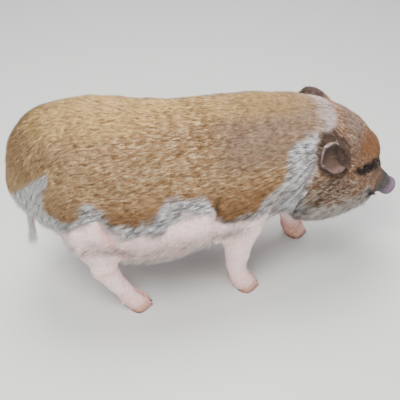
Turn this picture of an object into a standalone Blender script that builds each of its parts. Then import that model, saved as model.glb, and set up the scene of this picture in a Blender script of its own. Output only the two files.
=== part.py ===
"""A life-size miniature pig that stands with its head lowered to feed.

The pig faces +X, its left side is +Y and it stands on Z = 0, in metres.
Flesh is lofted along the spine, the skull and each leg, fused into one skin,
smoothed, and then parted with thin cuts into the parts a person would name.
"""

import math
import random

import bmesh
import bpy
from mathutils import Matrix, Vector
from mathutils.bvhtree import BVHTree

# Overall sizes
GAP = 0.0003
SKIN_VOXEL = 0.005
SKIN_SMOOTHING = 12
HEAD_START = 0.235
LEG_TOP = 0.200
HEAD_TRIANGLES = 1600
LEG_TRIANGLES = 1100
TRUNK_TRIANGLES = 1200
SOLVER = "MANIFOLD"

# Spine stations: x, centre height, half width, height above, depth below, low fullness.
SPINE = (
    (-0.408, 0.376, 0.000, 0.000, 0.000, -0.05),
    (-0.402, 0.374, 0.042, 0.050, 0.048, -0.05),
    (-0.382, 0.369, 0.081, 0.098, 0.078, -0.05),
    (-0.338, 0.358, 0.123, 0.146, 0.102, -0.04),
    (-0.274, 0.339, 0.155, 0.174, 0.136, 0.02),
    (-0.190, 0.318, 0.177, 0.180, 0.180, 0.08),
    (-0.100, 0.306, 0.180, 0.180, 0.188, 0.12),
    (-0.010, 0.308, 0.172, 0.174, 0.168, 0.12),
    (0.070, 0.320, 0.156, 0.168, 0.142, 0.10),
    (0.140, 0.332, 0.142, 0.156, 0.128, 0.06),
    (0.210, 0.338, 0.128, 0.140, 0.122, 0.02),
    (0.270, 0.334, 0.118, 0.124, 0.118, 0.00),
    (0.322, 0.312, 0.098, 0.100, 0.098, 0.00),
    (0.360, 0.292, 0.064, 0.060, 0.064, 0.00),
    (0.374, 0.284, 0.000, 0.000, 0.000, 0.00),
)

# The skull's axis runs from behind the poll down to the middle of the nose.
NOSE = Vector((0.465, -0.004, 0.200))
HEAD_PITCH = math.radians(42)
HEAD_YAW = math.radians(-3)
HEAD_FORWARD = Vector((
    math.cos(HEAD_PITCH) * math.cos(HEAD_YAW),
    math.cos(HEAD_PITCH) * math.sin(HEAD_YAW),
    -math.sin(HEAD_PITCH),
))
HEAD_LEFT = Vector((-math.sin(HEAD_YAW), math.cos(HEAD_YAW), 0.0))
HEAD_UP = HEAD_FORWARD.cross(HEAD_LEFT)

# Head stations: distance behind the nose, half width, height above, depth below, fullness.
SKULL = (
    (0.268, 0.000, 0.000, 0.000, 0.00),
    (0.256, 0.058, 0.056, 0.086, 0.10),
    (0.226, 0.095, 0.086, 0.156, 0.16),
    (0.182, 0.106, 0.086, 0.184, 0.20),
    (0.142, 0.098, 0.075, 0.184, 0.28),
    (0.112, 0.080, 0.053, 0.146, 0.28),
    (0.085, 0.060, 0.036, 0.088, 0.16),
    (0.058, 0.042, 0.027, 0.043, 0.00),
    (0.034, 0.034, 0.026, 0.033, 0.00),
    (0.010, 0.030, 0.026, 0.029, 0.00),
    (0.000, 0.000, 0.000, 0.000, 0.00),
)

# Leg stations: x, y, z, half thickness sideways, in front and behind.
FORELEG_RIGHT = (
    (0.090, -0.092, 0.350, 0.000, 0.000, 0.000),
    (0.090, -0.098, 0.310, 0.048, 0.070, 0.070),
    (0.086, -0.102, 0.240, 0.042, 0.058, 0.056),
    (0.080, -0.098, 0.180, 0.032, 0.040, 0.038),
    (0.080, -0.090, 0.122, 0.027, 0.028, 0.029),
    (0.082, -0.086, 0.075, 0.024, 0.025, 0.026),
    (0.092, -0.084, 0.042, 0.028, 0.028, 0.031),
    (0.105, -0.083, 0.014, 0.028, 0.030, 0.030),
    (0.107, -0.083, 0.006, 0.000, 0.000, 0.000),
)
FORELEG_LEFT = (
    (0.130, 0.092, 0.350, 0.000, 0.000, 0.000),
    (0.140, 0.098, 0.310, 0.048, 0.070, 0.070),
    (0.174, 0.102, 0.240, 0.042, 0.054, 0.058),
    (0.212, 0.098, 0.180, 0.031, 0.038, 0.043),
    (0.240, 0.090, 0.122, 0.026, 0.028, 0.032),
    (0.252, 0.086, 0.075, 0.024, 0.025, 0.026),
    (0.262, 0.084, 0.042, 0.028, 0.028, 0.031),
    (0.274, 0.083, 0.014, 0.028, 0.030, 0.030),
    (0.276, 0.083, 0.006, 0.000, 0.000, 0.000),
)
HINDLEG_RIGHT = (
    (-0.270, -0.080, 0.350, 0.000, 0.000, 0.000),
    (-0.266, -0.092, 0.310, 0.058, 0.070, 0.056),
    (-0.250, -0.104, 0.232, 0.050, 0.050, 0.046),
    (-0.232, -0.110, 0.178, 0.035, 0.036, 0.032),
    (-0.222, -0.110, 0.134, 0.026, 0.027, 0.028),
    (-0.202, -0.108, 0.084, 0.023, 0.023, 0.023),
    (-0.180, -0.106, 0.044, 0.026, 0.026, 0.027),
    (-0.160, -0.104, 0.014, 0.027, 0.028, 0.028),
    (-0.156, -0.104, 0.006, 0.000, 0.000, 0.000),
)
HINDLEG_LEFT = (
    (-0.290, 0.080, 0.350, 0.000, 0.000, 0.000),
    (-0.288, 0.092, 0.310, 0.060, 0.080, 0.060),
    (-0.286, 0.104, 0.232, 0.052, 0.056, 0.052),
    (-0.284, 0.108, 0.176, 0.036, 0.038, 0.036),
    (-0.282, 0.106, 0.132, 0.027, 0.028, 0.031),
    (-0.270, 0.104, 0.084, 0.023, 0.023, 0.024),
    (-0.256, 0.102, 0.044, 0.026, 0.025, 0.028),
    (-0.242, 0.100, 0.014, 0.027, 0.028, 0.028),
    (-0.238, 0.100, 0.006, 0.000, 0.000, 0.000),
)


# The lower jaw: distance behind the nose, distance below the skull's axis, half width, half height.
JAW = (
    (0.140, 0.100, 0.000, 0.000),
    (0.130, 0.094, 0.040, 0.030),
    (0.100, 0.074, 0.038, 0.026),
    (0.072, 0.058, 0.029, 0.019),
    (0.050, 0.047, 0.023, 0.013),
    (0.034, 0.041, 0.017, 0.010),
    (0.026, 0.039, 0.000, 0.000),
)

# The mouth's line runs round the muzzle from one corner to the other.
MOUTH_FRONT = 0.026
MOUTH_CORNER = 0.112
MOUTH_CORNER_ANGLE = math.radians(66)
MOUTH_RADIUS = 0.0022
MOUTH_STEPS = 14

# The nose disc: distance behind the nose, half width, height above, depth below.
DISC_BACK = 0.012
DISC = (
    (0.0117, 0.000, 0.000, 0.000),
    (0.0117, 0.028, 0.025, 0.027),
    (0.0070, 0.031, 0.028, 0.029),
    (0.0010, 0.032, 0.029, 0.030),
    (-0.0030, 0.029, 0.026, 0.027),
    (-0.0030, 0.000, 0.000, 0.000),
)
NOSTRIL_RADIUS = 0.0050
NOSTRIL_SIDE = 0.0125
NOSTRIL_UP = 0.002
NOSTRIL_DEPTH = 0.010

# The eyes sit on the sides of the face, under the brow.
EYE_BACK = 0.148
EYE_ABOVE = 0.034
EYE_RADIUS = 0.011
EYE_SUNK = 0.0100
LID = Vector((0.0185, 0.0145, 0.0142))
LID_OPENING = Vector((0.0088, 0.0048, 0.0085))

# The ears are swept back: side, distance behind the nose, above the axis, way to the tip, way it faces.
EARS = {
    "ear_right": (-1, 0.264, 0.024, Vector((-0.78, -0.56, 0.20)), Vector((0.47, -0.60, 0.65))),
    "ear_left": (1, 0.250, 0.030, Vector((-0.80, 0.55, 0.16)), Vector((0.36, 0.56, 0.74))),
}
EAR_LENGTH = 0.078
EAR_THICKNESS = 0.0042
EAR_SUNK = 0.023

# Ear stations from root to tip: half width, cup and bend.
EAR = (
    (0.010, 0.001, 0.004),
    (0.021, 0.006, 0.007),
    (0.030, 0.012, 0.008),
    (0.032, 0.011, 0.010),
    (0.026, 0.006, 0.013),
    (0.006, 0.001, 0.018),
)

# Tail stations: x, z and radius, from inside the rump to the tip of the flesh.
TAIL = (
    (-0.366, 0.342, 0.000),
    (-0.372, 0.340, 0.016),
    (-0.391, 0.332, 0.016),
    (-0.400, 0.312, 0.013),
    (-0.393, 0.286, 0.011),
    (-0.382, 0.258, 0.009),
    (-0.378, 0.232, 0.008),
    (-0.380, 0.205, 0.007),
    (-0.382, 0.188, 0.005),
    (-0.383, 0.180, 0.000),
)

# The coat: wide flat locks in overlapping rings that lie back along the body.
COAT_DEPTH = 0.006
LOCK_SEED = 11
LOCK_LENGTH = 0.108
LOCK_HALF_WIDTH = 0.027
LOCK_HALF_THICKNESS = 0.0038
LOCK_SPACING = 0.054
LOCK_RISE = (-0.0110, -0.0036, 0.0040, 0.0105)
LOCK_WIDTH = (0.0, 1.0, 0.82, 0.0)
LOCK_THICKNESS = (0.0, 1.0, 0.9, 0.0)
BODY_RINGS = 9
BODY_FIRST = 0.205
BODY_LAST = -0.345
BODY_REACH = math.radians(126)
NAPE_PIVOT = Vector((0.215, 0.0, 0.200))
NAPE_PITCHES = (14, 28)
NAPE_REACH = math.radians(95)
HEAD_RINGS = (0.122, 0.170, 0.218)
HEAD_REACH = math.radians(165)
HEAD_LOCK_SIZE = 0.80
KEEP_CLEAR = 0.016
TASSEL_LOCKS = 5
TASSEL_LENGTH = 0.064

# Feet: the claws of each foot meet the leg at a sloped coronet.
CORONET_HEIGHT = 0.026
CORONET_SLOPE = 0.28
CLAW_AHEAD = -0.003
CLAW = (
    (-0.006, 0.060, 0.000, 0.000, 0.000),
    (-0.004, 0.050, 0.024, 0.025, 0.024),
    (0.000, 0.030, 0.027, 0.029, 0.027),
    (0.005, 0.010, 0.029, 0.032, 0.028),
    (0.008, -0.006, 0.029, 0.032, 0.028),
    (0.010, -0.010, 0.000, 0.000, 0.000),
)
CLEFT = 0.0018
DEWCLAW_HEIGHT = 0.050
DEWCLAW_SIDE = 0.015
DEWCLAW = ((0.000, 0.000), (0.002, 0.0085), (0.016, 0.0085), (0.030, 0.0060), (0.035, 0.000))

# Where each leg leaves the trunk: a point on its axis and the way it points from there.
LEG_CUTS = {
    "foreleg_right": (Vector((0.086, -0.108, 0.215)), Vector((0.00, 0.15, -1.0)), FORELEG_RIGHT),
    "foreleg_left": (Vector((0.172, 0.108, 0.245)), Vector((0.42, -0.15, -0.9)), FORELEG_LEFT),
    "hindleg_right": (Vector((-0.246, -0.112, 0.215)), Vector((0.36, 0.15, -0.93)), HINDLEG_RIGHT),
    "hindleg_left": (Vector((-0.286, 0.112, 0.215)), Vector((0.17, -0.15, -0.98)), HINDLEG_LEFT),
}
LEG_BLOCK = Vector((0.132, 0.108, 0.34))

# Where the head leaves the neck and the neck leaves the trunk.
HEAD_CUT = (Vector((0.245, 0.0, 0.350)), Vector((0.945, 0.03, -0.327)))
NECK_CUT = (Vector((0.160, 0.0, 0.350)), Vector((1.0, 0.0, 0.0)))

COLOURS = {
    "torso": ((0.300, 0.205, 0.130), 0.85),
    "neck": ((0.300, 0.225, 0.170), 0.85),
    "head": ((0.300, 0.200, 0.130), 0.85),
    "snout": ((0.210, 0.160, 0.165), 0.55),
    "ear": ((0.110, 0.085, 0.080), 0.80),
    "eye": ((0.012, 0.008, 0.006), 0.12),
    "foreleg": ((0.520, 0.340, 0.290), 0.75),
    "hindleg": ((0.500, 0.330, 0.280), 0.75),
    "tail": ((0.560, 0.420, 0.360), 0.80),
    "hoof": ((0.420, 0.310, 0.250), 0.50),
    "dewclaw": ((0.330, 0.240, 0.190), 0.55),
}
LEFT = Vector((0.0, 1.0, 0.0))
UP = Vector((0.0, 0.0, 1.0))
FORWARD = Vector((1.0, 0.0, 0.0))
HALF_SPACE = Vector((1.2, 1.2, 1.2))


def clear_scene():
    for obj in list(bpy.data.objects):
        bpy.data.objects.remove(obj, do_unlink=True)


def make_material(name, colour, roughness):
    material = bpy.data.materials.new(name)
    material.use_nodes = True
    shader = material.node_tree.nodes["Principled BSDF"]
    shader.inputs["Base Color"].default_value = (*colour, 1.0)
    shader.inputs["Roughness"].default_value = roughness
    return material


def new_object(name, mesh, collection):
    obj = bpy.data.objects.new(name, mesh)
    collection.objects.link(obj)
    return obj


def draw(bm, name):
    """Turns a bmesh into an object."""
    bmesh.ops.recalc_face_normals(bm, faces=bm.faces)
    mesh = bpy.data.meshes.new(name)
    bm.to_mesh(mesh)
    bm.free()
    return new_object(name, mesh, bpy.context.scene.collection)


def spline(rows, place):
    """A smooth value between rows of numbers; place runs from 0 to 1."""
    at = place * (len(rows) - 1)
    i = min(int(at), len(rows) - 2)
    t = at - i
    before, here = rows[max(i - 1, 0)], rows[i]
    there, after = rows[i + 1], rows[min(i + 2, len(rows) - 1)]
    return [
        0.5 * (2 * b + (c - a) * t + (2 * a - 5 * b + 4 * c - d) * t**2 + (3 * b - a - 3 * c + d) * t**3)
        for a, b, c, d in zip(before, here, there, after)
    ]


def loft(name, stations, around, along, left=LEFT):
    """A closed round body. A station is a centre, half width, height above, depth below and fullness."""
    bm = bmesh.new()
    bmesh.ops.create_grid(bm, x_segments=around, y_segments=along, size=0.5)
    for vert in bm.verts:
        angle = (vert.co.x + 0.5) * 2 * math.pi
        place = vert.co.y + 0.5
        x, y, z, wide, above, below, fullness = spline(stations, place)
        ahead = Vector(spline(stations, min(place + 0.01, 1.0))[:3])
        behind = Vector(spline(stations, max(place - 0.01, 0.0))[:3])
        forward = (ahead - behind).normalized()
        side = (left - forward * left.dot(forward)).normalized()
        up = forward.cross(side)
        rise = math.cos(angle)
        wide = max(wide, 0.0) * (1 - fullness * rise)
        tall = max(above if rise > 0 else below, 0.0)
        if place in (0.0, 1.0):
            wide = tall = 0.0
        vert.co = Vector((x, y, z)) + side * (wide * math.sin(angle)) + up * (tall * rise)
    bmesh.ops.remove_doubles(bm, verts=bm.verts, dist=1e-5)
    return draw(bm, name)


def block(point, normal, ahead, size):
    """A box whose top face lies on the plane through the point; the normal points out of that face."""
    up = normal.normalized()
    front = (ahead - up * ahead.dot(up)).normalized()
    turn = Matrix((front, up.cross(front), up)).transposed().to_quaternion()
    bm = bmesh.new()
    bmesh.ops.create_cube(bm, size=1.0, matrix=Matrix.LocRotScale(point - up * (size.z / 2), turn, size))
    return draw(bm, "block")


def ball(centre, radii, turn=None):
    """A faceted ellipsoid with its first radius along the turn's X axis."""
    bm = bmesh.new()
    matrix = Matrix.LocRotScale(centre, turn, radii)
    bmesh.ops.create_icosphere(bm, subdivisions=2, radius=1.0, matrix=matrix)
    return draw(bm, "ball")


def bake(obj):
    """Applies every modifier, as the viewport evaluates it."""
    bpy.context.view_layer.update()
    graph = bpy.context.evaluated_depsgraph_get()
    mesh = bpy.data.meshes.new_from_object(obj.evaluated_get(graph))
    obj.modifiers.clear()
    obj.data = mesh
    return obj


def combine(base, pieces, operation, solver=SOLVER):
    """One Boolean with closed pieces, applied; the pieces are then removed."""
    group = bpy.data.collections.new("pieces")
    bpy.context.scene.collection.children.link(group)
    for piece in pieces:
        bpy.context.scene.collection.objects.unlink(piece)
        group.objects.link(piece)
    boolean = base.modifiers.new("combine", "BOOLEAN")
    boolean.operation = operation
    boolean.solver = solver
    if len(pieces) == 1:
        boolean.object = pieces[0]
    else:
        boolean.operand_type = "COLLECTION"
        boolean.collection = group
    bake(base)
    for piece in pieces:
        bpy.data.objects.remove(piece, do_unlink=True)
    bpy.data.collections.remove(group)
    return base


def duplicate(obj, name):
    copy = new_object(name, obj.data.copy(), bpy.context.scene.collection)
    copy.matrix_world = obj.matrix_world
    return copy


def inflated(obj, distance):
    """A copy of a body grown along its normals."""
    copy = duplicate(obj, "inflated")
    grow = copy.modifiers.new("grow", "DISPLACE")
    grow.strength = distance
    grow.mid_level = 0.0
    return bake(copy)


def keep_largest(obj):
    """Keeps the closed surface with the most faces and drops every scrap."""
    bm = bmesh.new()
    bm.from_mesh(obj.data)
    bm.faces.ensure_lookup_table()
    unseen = set(bm.faces)
    islands = []
    while unseen:
        stack = [unseen.pop()]
        island = set(stack)
        while stack:
            for edge in stack.pop().edges:
                for face in edge.link_faces:
                    if face in unseen:
                        unseen.discard(face)
                        island.add(face)
                        stack.append(face)
        islands.append(island)
    largest = max(islands, key=len)
    bmesh.ops.delete(bm, geom=[face for face in bm.faces if face not in largest], context="FACES")
    bmesh.ops.triangulate(bm, faces=bm.faces)
    bm.to_mesh(obj.data)
    bm.free()
    return obj


def part_off(whole, name, point, normal, ahead, size):
    """Takes what lies in a block off the whole, as a piece of its own with a thin gap."""
    piece = duplicate(whole, name)
    combine(piece, [block(point, normal, ahead, size)], "INTERSECT")
    margin = Vector((GAP, GAP, GAP)) * 2
    grown = block(point + normal.normalized() * GAP, normal, ahead, size + margin)
    combine(whole, [grown], "DIFFERENCE")
    keep_largest(whole)
    return keep_largest(piece)


def head_point(back, side, above):
    """A place in the skull's frame: distance behind the nose, to the left and above its axis."""
    return NOSE - HEAD_FORWARD * back + HEAD_LEFT * side + HEAD_UP * above


def surface_tree(obj):
    bpy.context.view_layer.update()
    return BVHTree.FromObject(obj, bpy.context.evaluated_depsgraph_get())


def cast(tree, start, way):
    """The first surface point along a ray."""
    return tree.ray_cast(start, way.normalized())[0]


def spine_stations():
    return [(x, 0.0, z, *section) for x, z, *section in SPINE]


def skull_stations():
    return [(*head_point(back, 0.0, 0.0), *section) for back, *section in SKULL]


def jaw_stations():
    return [(*head_point(back, 0.0, -drop), wide, tall, tall, 0.0) for back, drop, wide, tall in JAW]


def coat_share(point):
    """How much coat a place on the skin carries, from 0 on bare skin to 1 on the back."""
    share = min(max((point.z - 0.150) / 0.060, 0.0), 1.0)
    back = (NOSE - point).dot(HEAD_FORWARD)
    if point.x > HEAD_START:
        share = min(max((back - 0.070) / 0.060, 0.0), 1.0)
    return share


def lie(point):
    """The way the coat lies: back along the trunk, down over the ham, off the face on the head."""
    if point.x > HEAD_START + 0.02:
        return (-HEAD_FORWARD + Vector((-0.25, 0.0, -0.30))).normalized()
    height = (0.48 - point.z) / 0.30
    ham = min(max((-0.24 - point.x) / 0.12, 0.0), 1.0)
    return Vector((-1.0 + 0.45 * ham, 0.0, -0.18 - 0.42 * height - 0.70 * ham)).normalized()


def under_leg(point):
    """Whether a place belongs to a leg, by the plane where the leg is cut off."""
    for top, down, _ in LEG_CUTS.values():
        offset = point - top
        if abs(offset.x) < LEG_BLOCK.x / 2 and abs(offset.y) < LEG_BLOCK.y / 2 and offset.dot(down) > 0:
            return True
    return False


def make_lock(tree, root, way, length, half_width, keep_out):
    """A flat tapered lock that leaves the skin at its root and bends along it."""
    count = len(LOCK_RISE)
    step = length / (count - 1)
    point = root
    centres, normals = [], []
    for rise in LOCK_RISE:
        point, normal = tree.find_nearest(point)[:2]
        centres.append(point + normal * rise)
        normals.append(normal)
        flat = way - normal * way.dot(normal)
        point = point + flat.normalized() * step
    if any(other.find_nearest(centre)[3] < KEEP_CLEAR for other in keep_out for centre in centres):
        return None
    if region(centres[0]) == "leg" or any(under_leg(centre) for centre in centres):
        return None
    left = normals[1].cross(centres[2] - centres[0])
    stations = [
        (*centre, half_width * wide, LOCK_HALF_THICKNESS * thick, LOCK_HALF_THICKNESS * thick, 0.0)
        for centre, wide, thick in zip(centres, LOCK_WIDTH, LOCK_THICKNESS)
    ]
    return loft("lock", stations, 4, count - 1, left)


def ring_of_locks(tree, draws, centre, ahead, reach, offset, size, keep_out):
    """Locks round one section of the body, from one low side over the top to the other."""
    up = (UP - ahead * UP.dot(ahead)).normalized()
    left = up.cross(ahead)
    radius = (cast(tree, centre, left) - centre).length
    count = round(2 * reach * radius / (LOCK_SPACING * size))
    locks = []
    for i in range(count):
        angle = reach * (2 * (i + 0.25 + 0.5 * offset) / count - 1) + draws.uniform(-0.05, 0.05)
        way = left * math.sin(angle) + up * math.cos(angle)
        root = cast(tree, centre, way)
        if root is None or coat_share(root) < 0.7:
            continue
        root = root + ahead * draws.uniform(-0.010, 0.010)
        length = LOCK_LENGTH * size * draws.uniform(0.88, 1.12)
        half_width = LOCK_HALF_WIDTH * size * draws.uniform(0.88, 1.08)
        flow = lie(root) + Vector((0.0, draws.uniform(-0.10, 0.10), draws.uniform(-0.08, 0.08)))
        locks.append(make_lock(tree, root, flow, length, half_width, keep_out))
    return [lock for lock in locks if lock]


def make_coat(tree, keep_out):
    """Rings of locks from the face to the rump."""
    draws = random.Random(LOCK_SEED)
    locks = []
    rings = []
    for back in HEAD_RINGS:
        centre = head_point(back, 0.0, -0.045)
        rings.append((centre, HEAD_FORWARD, HEAD_REACH, HEAD_LOCK_SIZE))
    for degrees in NAPE_PITCHES:
        pitch = math.radians(degrees)
        centre = NAPE_PIVOT + Vector((math.sin(pitch), 0.0, math.cos(pitch))) * 0.12
        rings.append((centre, Vector((math.cos(pitch), 0.0, -math.sin(pitch))), NAPE_REACH, 0.9))
    for i in range(BODY_RINGS):
        place = BODY_FIRST + (BODY_LAST - BODY_FIRST) * i / (BODY_RINGS - 1)
        rings.append((Vector((place, 0.0, 0.335)), FORWARD, BODY_REACH, 1.0))
    for i, (centre, ahead, reach, size) in enumerate(rings):
        locks += ring_of_locks(tree, draws, centre, ahead, reach, i % 2, size, keep_out)
    return locks


def make_tassel():
    """Locks that fan out and hang from the end of the tail."""
    draws = random.Random(LOCK_SEED)
    locks = []
    for i in range(TASSEL_LOCKS):
        angle = 2 * math.pi * i / TASSEL_LOCKS
        out = Vector((math.cos(angle), math.sin(angle), 0.0))
        top = Vector((TAIL[-3][0], 0.0, TAIL[-3][1])) + out * 0.0015
        length = TASSEL_LENGTH * draws.uniform(0.8, 1.1)
        stations = []
        for k in range(5):
            along = k / 4
            centre = top + out * (0.012 * along) - UP * (length * along)
            wide = 0.0068 * (0.0, 1.0, 0.95, 0.6, 0.0)[k]
            stations.append((*centre, wide, wide * 0.45, wide * 0.45, 0.0))
        locks.append(loft("lock", stations, 4, 4, UP.cross(out)))
    return locks


def make_skin():
    """The whole body without its small features, fused, evened out and smoothed."""
    trunk = loft("skin", spine_stations(), 40, 52)
    head = loft("skull", skull_stations(), 36, 44, HEAD_LEFT)
    jaw = loft("jaw", jaw_stations(), 24, 18, HEAD_LEFT)
    legs = [
        loft("leg", [(*row, 0.0) for row in stations], 24, 36)
        for stations in (FORELEG_RIGHT, FORELEG_LEFT, HINDLEG_RIGHT, HINDLEG_LEFT)
    ]
    skin = combine(trunk, [head, jaw, *legs], "UNION")
    remesh = skin.modifiers.new("remesh", "REMESH")
    remesh.mode = "VOXEL"
    remesh.voxel_size = SKIN_VOXEL
    smooth = skin.modifiers.new("smooth", "SMOOTH")
    smooth.factor = 0.5
    smooth.iterations = SKIN_SMOOTHING
    bake(skin)
    inward = [vert.normal * (-COAT_DEPTH * coat_share(vert.co)) for vert in skin.data.vertices]
    for vert, move in zip(skin.data.vertices, inward):
        vert.co += move
    return skin


def region(point):
    if point.x > HEAD_START and point.z > 0.15:
        return "head"
    return "leg" if point.z < LEG_TOP - 0.35 * (abs(point.y) < 0.05) else "trunk"


def thin_out(skin):
    """Fewer, larger triangles, with a count of its own for the head, the legs and the trunk."""
    for kind, target in (("head", HEAD_TRIANGLES), ("leg", LEG_TRIANGLES), ("trunk", TRUNK_TRIANGLES)):
        mesh = skin.data
        mesh.calc_loop_triangles()
        chosen = {vert.index for vert in mesh.vertices if region(vert.co) == kind}
        inside = sum(1 for face in mesh.loop_triangles if face.vertices[0] in chosen)
        group = skin.vertex_groups.new(name=kind)
        group.add(list(chosen), 1.0, "REPLACE")
        total = len(mesh.loop_triangles)
        decimate = skin.modifiers.new("decimate", "DECIMATE")
        decimate.ratio = (total - inside + target) / total
        decimate.vertex_group = group.name
        bake(skin)
        skin.vertex_groups.clear()
    return skin


def mouth_groove(tree):
    """A thin tube along the line of the mouth, laid on the skin."""
    points = []
    for i in range(MOUTH_STEPS + 1):
        turn = 2 * i / MOUTH_STEPS - 1
        angle = turn * MOUTH_CORNER_ANGLE
        back = MOUTH_FRONT + (MOUTH_CORNER - MOUTH_FRONT) * abs(turn) ** 1.6
        way = HEAD_LEFT * math.sin(angle) - HEAD_UP * math.cos(angle)
        points.append(cast(tree, head_point(back, 0.0, -0.004) + way * 0.3, -way))
    return tube("mouth", points, MOUTH_RADIUS)


def tube(name, points, radius):
    """A closed round tube through a list of points, with welded caps."""
    curve = bpy.data.curves.new(name, "CURVE")
    curve.dimensions = "3D"
    curve.bevel_depth = radius
    curve.bevel_resolution = 1
    curve.use_fill_caps = True
    line = curve.splines.new("POLY")
    line.points.add(len(points) - 1)
    for place, point in zip(line.points, points):
        place.co = (*point, 1.0)
    obj = bpy.data.objects.new(name, curve)
    bpy.context.scene.collection.objects.link(obj)
    bpy.context.view_layer.update()
    mesh = bpy.data.meshes.new_from_object(obj.evaluated_get(bpy.context.evaluated_depsgraph_get()))
    bpy.data.objects.remove(obj, do_unlink=True)
    bm = bmesh.new()
    bm.from_mesh(mesh)
    bmesh.ops.remove_doubles(bm, verts=bm.verts, dist=1e-5)
    return draw(bm, name)


def eye_frame(tree, side):
    """The eye's centre and the turn whose X runs to the nose and Z out of the face."""
    start = head_point(EYE_BACK, side * 0.3, EYE_ABOVE)
    hit, normal = tree.ray_cast(start, -side * HEAD_LEFT)[:2]
    out = normal.normalized()
    ahead = (HEAD_FORWARD - out * out.dot(HEAD_FORWARD)).normalized()
    turn = Matrix((ahead, out.cross(ahead), out)).transposed().to_quaternion()
    return hit - out * EYE_SUNK, turn, out


def eye_tree(tree, side):
    """The outline of one eye, which the locks keep clear of."""
    centre = eye_frame(tree, side)[0]
    marker = ball(centre, LID)
    outline = surface_tree(marker)
    bpy.data.objects.remove(marker, do_unlink=True)
    return outline


def make_eyes(skin, tree):
    """Sockets with lids in the skin, and an eyeball in each."""
    frames = {"eye_right": eye_frame(tree, -1), "eye_left": eye_frame(tree, 1)}
    combine(skin, [ball(centre, LID, turn) for centre, turn, _ in frames.values()], "UNION")
    for name, (centre, turn, out) in frames.items():
        socket = EYE_RADIUS + GAP
        opening = ball(centre + out * (LID.z - 0.001), LID_OPENING, turn)
        combine(opening, [ball(centre, Vector((socket, socket, socket)), turn)], "UNION")
        combine(skin, [opening], "DIFFERENCE")
        eye = ball(centre, Vector((EYE_RADIUS, EYE_RADIUS, EYE_RADIUS)), turn)
        eye.name = name


def make_ear(name, tree, side, back, above, axis, face):
    """One ear: a leaf bent into a cup, with its root sunk in the head."""
    root = cast(tree, head_point(back, side * 0.3, above), -side * HEAD_LEFT)
    axis = axis.normalized()
    face = (face - axis * face.dot(axis)).normalized()
    across = axis.cross(face)
    bm = bmesh.new()
    bmesh.ops.create_grid(bm, x_segments=7, y_segments=7, size=0.5)
    for vert in bm.verts:
        place = vert.co.y + 0.5
        turn = vert.co.x * 2
        half, cup, bend = spline(EAR, place)
        along = axis * (place * (EAR_LENGTH + EAR_SUNK) - EAR_SUNK)
        vert.co = root + along + across * (half * turn) + face * (cup * turn**2 + bend)
    ear = draw(bm, name)
    thicken = ear.modifiers.new("thicken", "SOLIDIFY")
    thicken.thickness = EAR_THICKNESS
    thicken.offset = 0.0
    return bake(ear)


def make_tail():
    rows = [(x, 0.0, z, radius, radius, radius, 0.0) for x, z, radius in TAIL]
    return loft("tail", rows, 10, 18)


def make_snout():
    """The bare disc of the nose with two nostrils."""
    rows = [(*head_point(back, 0.0, 0.0), *section, 0.0) for back, *section in DISC]
    snout = loft("snout", rows, 20, 5, HEAD_LEFT)
    for side in (-1, 1):
        hole = []
        for back in (NOSTRIL_DEPTH - 0.003, -0.010):
            spread = NOSTRIL_SIDE - back * 0.15
            hole.append(head_point(back, side * spread, NOSTRIL_UP))
        combine(snout, [tube("nostril", hole, NOSTRIL_RADIUS)], "DIFFERENCE")
    return snout


def slice_off(obj, point, normal):
    """Cuts away what lies on the normal's side of a plane and closes the cut."""
    bm = bmesh.new()
    bm.from_mesh(obj.data)
    geometry = list(bm.verts) + list(bm.edges) + list(bm.faces)
    cut = bmesh.ops.bisect_plane(
        bm, geom=geometry, dist=1e-6, plane_co=point, plane_no=normal, clear_outer=True
    )
    rim = [item for item in cut["geom_cut"] if isinstance(item, bmesh.types.BMEdge)]
    bmesh.ops.contextual_create(bm, geom=rim)
    bmesh.ops.recalc_face_normals(bm, faces=bm.faces)
    bm.to_mesh(obj.data)
    bm.free()
    return obj


def coronet(foot):
    """A point and the up direction of the plane where the claws meet the leg."""
    point = Vector((foot.x, foot.y, CORONET_HEIGHT))
    return point, Vector((-CORONET_SLOPE, 0.0, 1.0)).normalized()


def make_claws(leg_name, foot, outward):
    """Two claws that stand flat on the ground on either side of a cleft."""
    point, up = coronet(foot)
    for label, side in (("outer", outward), ("inner", -outward)):
        stations = [
            (foot.x + CLAW_AHEAD + ahead, foot.y, height, wide, front, rear, 0.0)
            for ahead, height, wide, front, rear in CLAW
        ]
        claw = loft(f"hoof_{leg_name}_{label}", stations, 16, 5)
        slice_off(claw, Vector((0, foot.y + side * CLEFT, 0)), LEFT * -side)
        slice_off(claw, point - up * GAP, up)
        slice_off(claw, Vector((0, 0, 0)), -UP)


def make_dewclaws(leg_name, ankle, outward, grown_skin):
    """Two small claws that hang behind the pastern."""
    for label, side in (("outer", outward), ("inner", -outward)):
        start = ankle + LEFT * side * DEWCLAW_SIDE
        way = Vector((-0.72, side * 0.22, -0.66)).normalized()
        stations = [(*(start + way * along), wide, wide * 0.8, wide * 0.8, 0.0) for along, wide in DEWCLAW]
        claw = loft(f"dewclaw_{leg_name}_{label}", stations, 8, 4)
        combine(claw, [duplicate(grown_skin, "skin")], "DIFFERENCE")
        keep_largest(claw)


def finish(name, obj, collection):
    """Gives a node its material, its place in the collection and its shading."""
    kind = next(key for key in COLOURS if name.startswith(key))
    obj.data.materials.clear()
    obj.data.materials.append(make_material(name, *COLOURS[kind]))
    for owner in obj.users_collection:
        owner.objects.unlink(obj)
    collection.objects.link(obj)
    obj.name = name
    for polygon in obj.data.polygons:
        polygon.use_smooth = True


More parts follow.
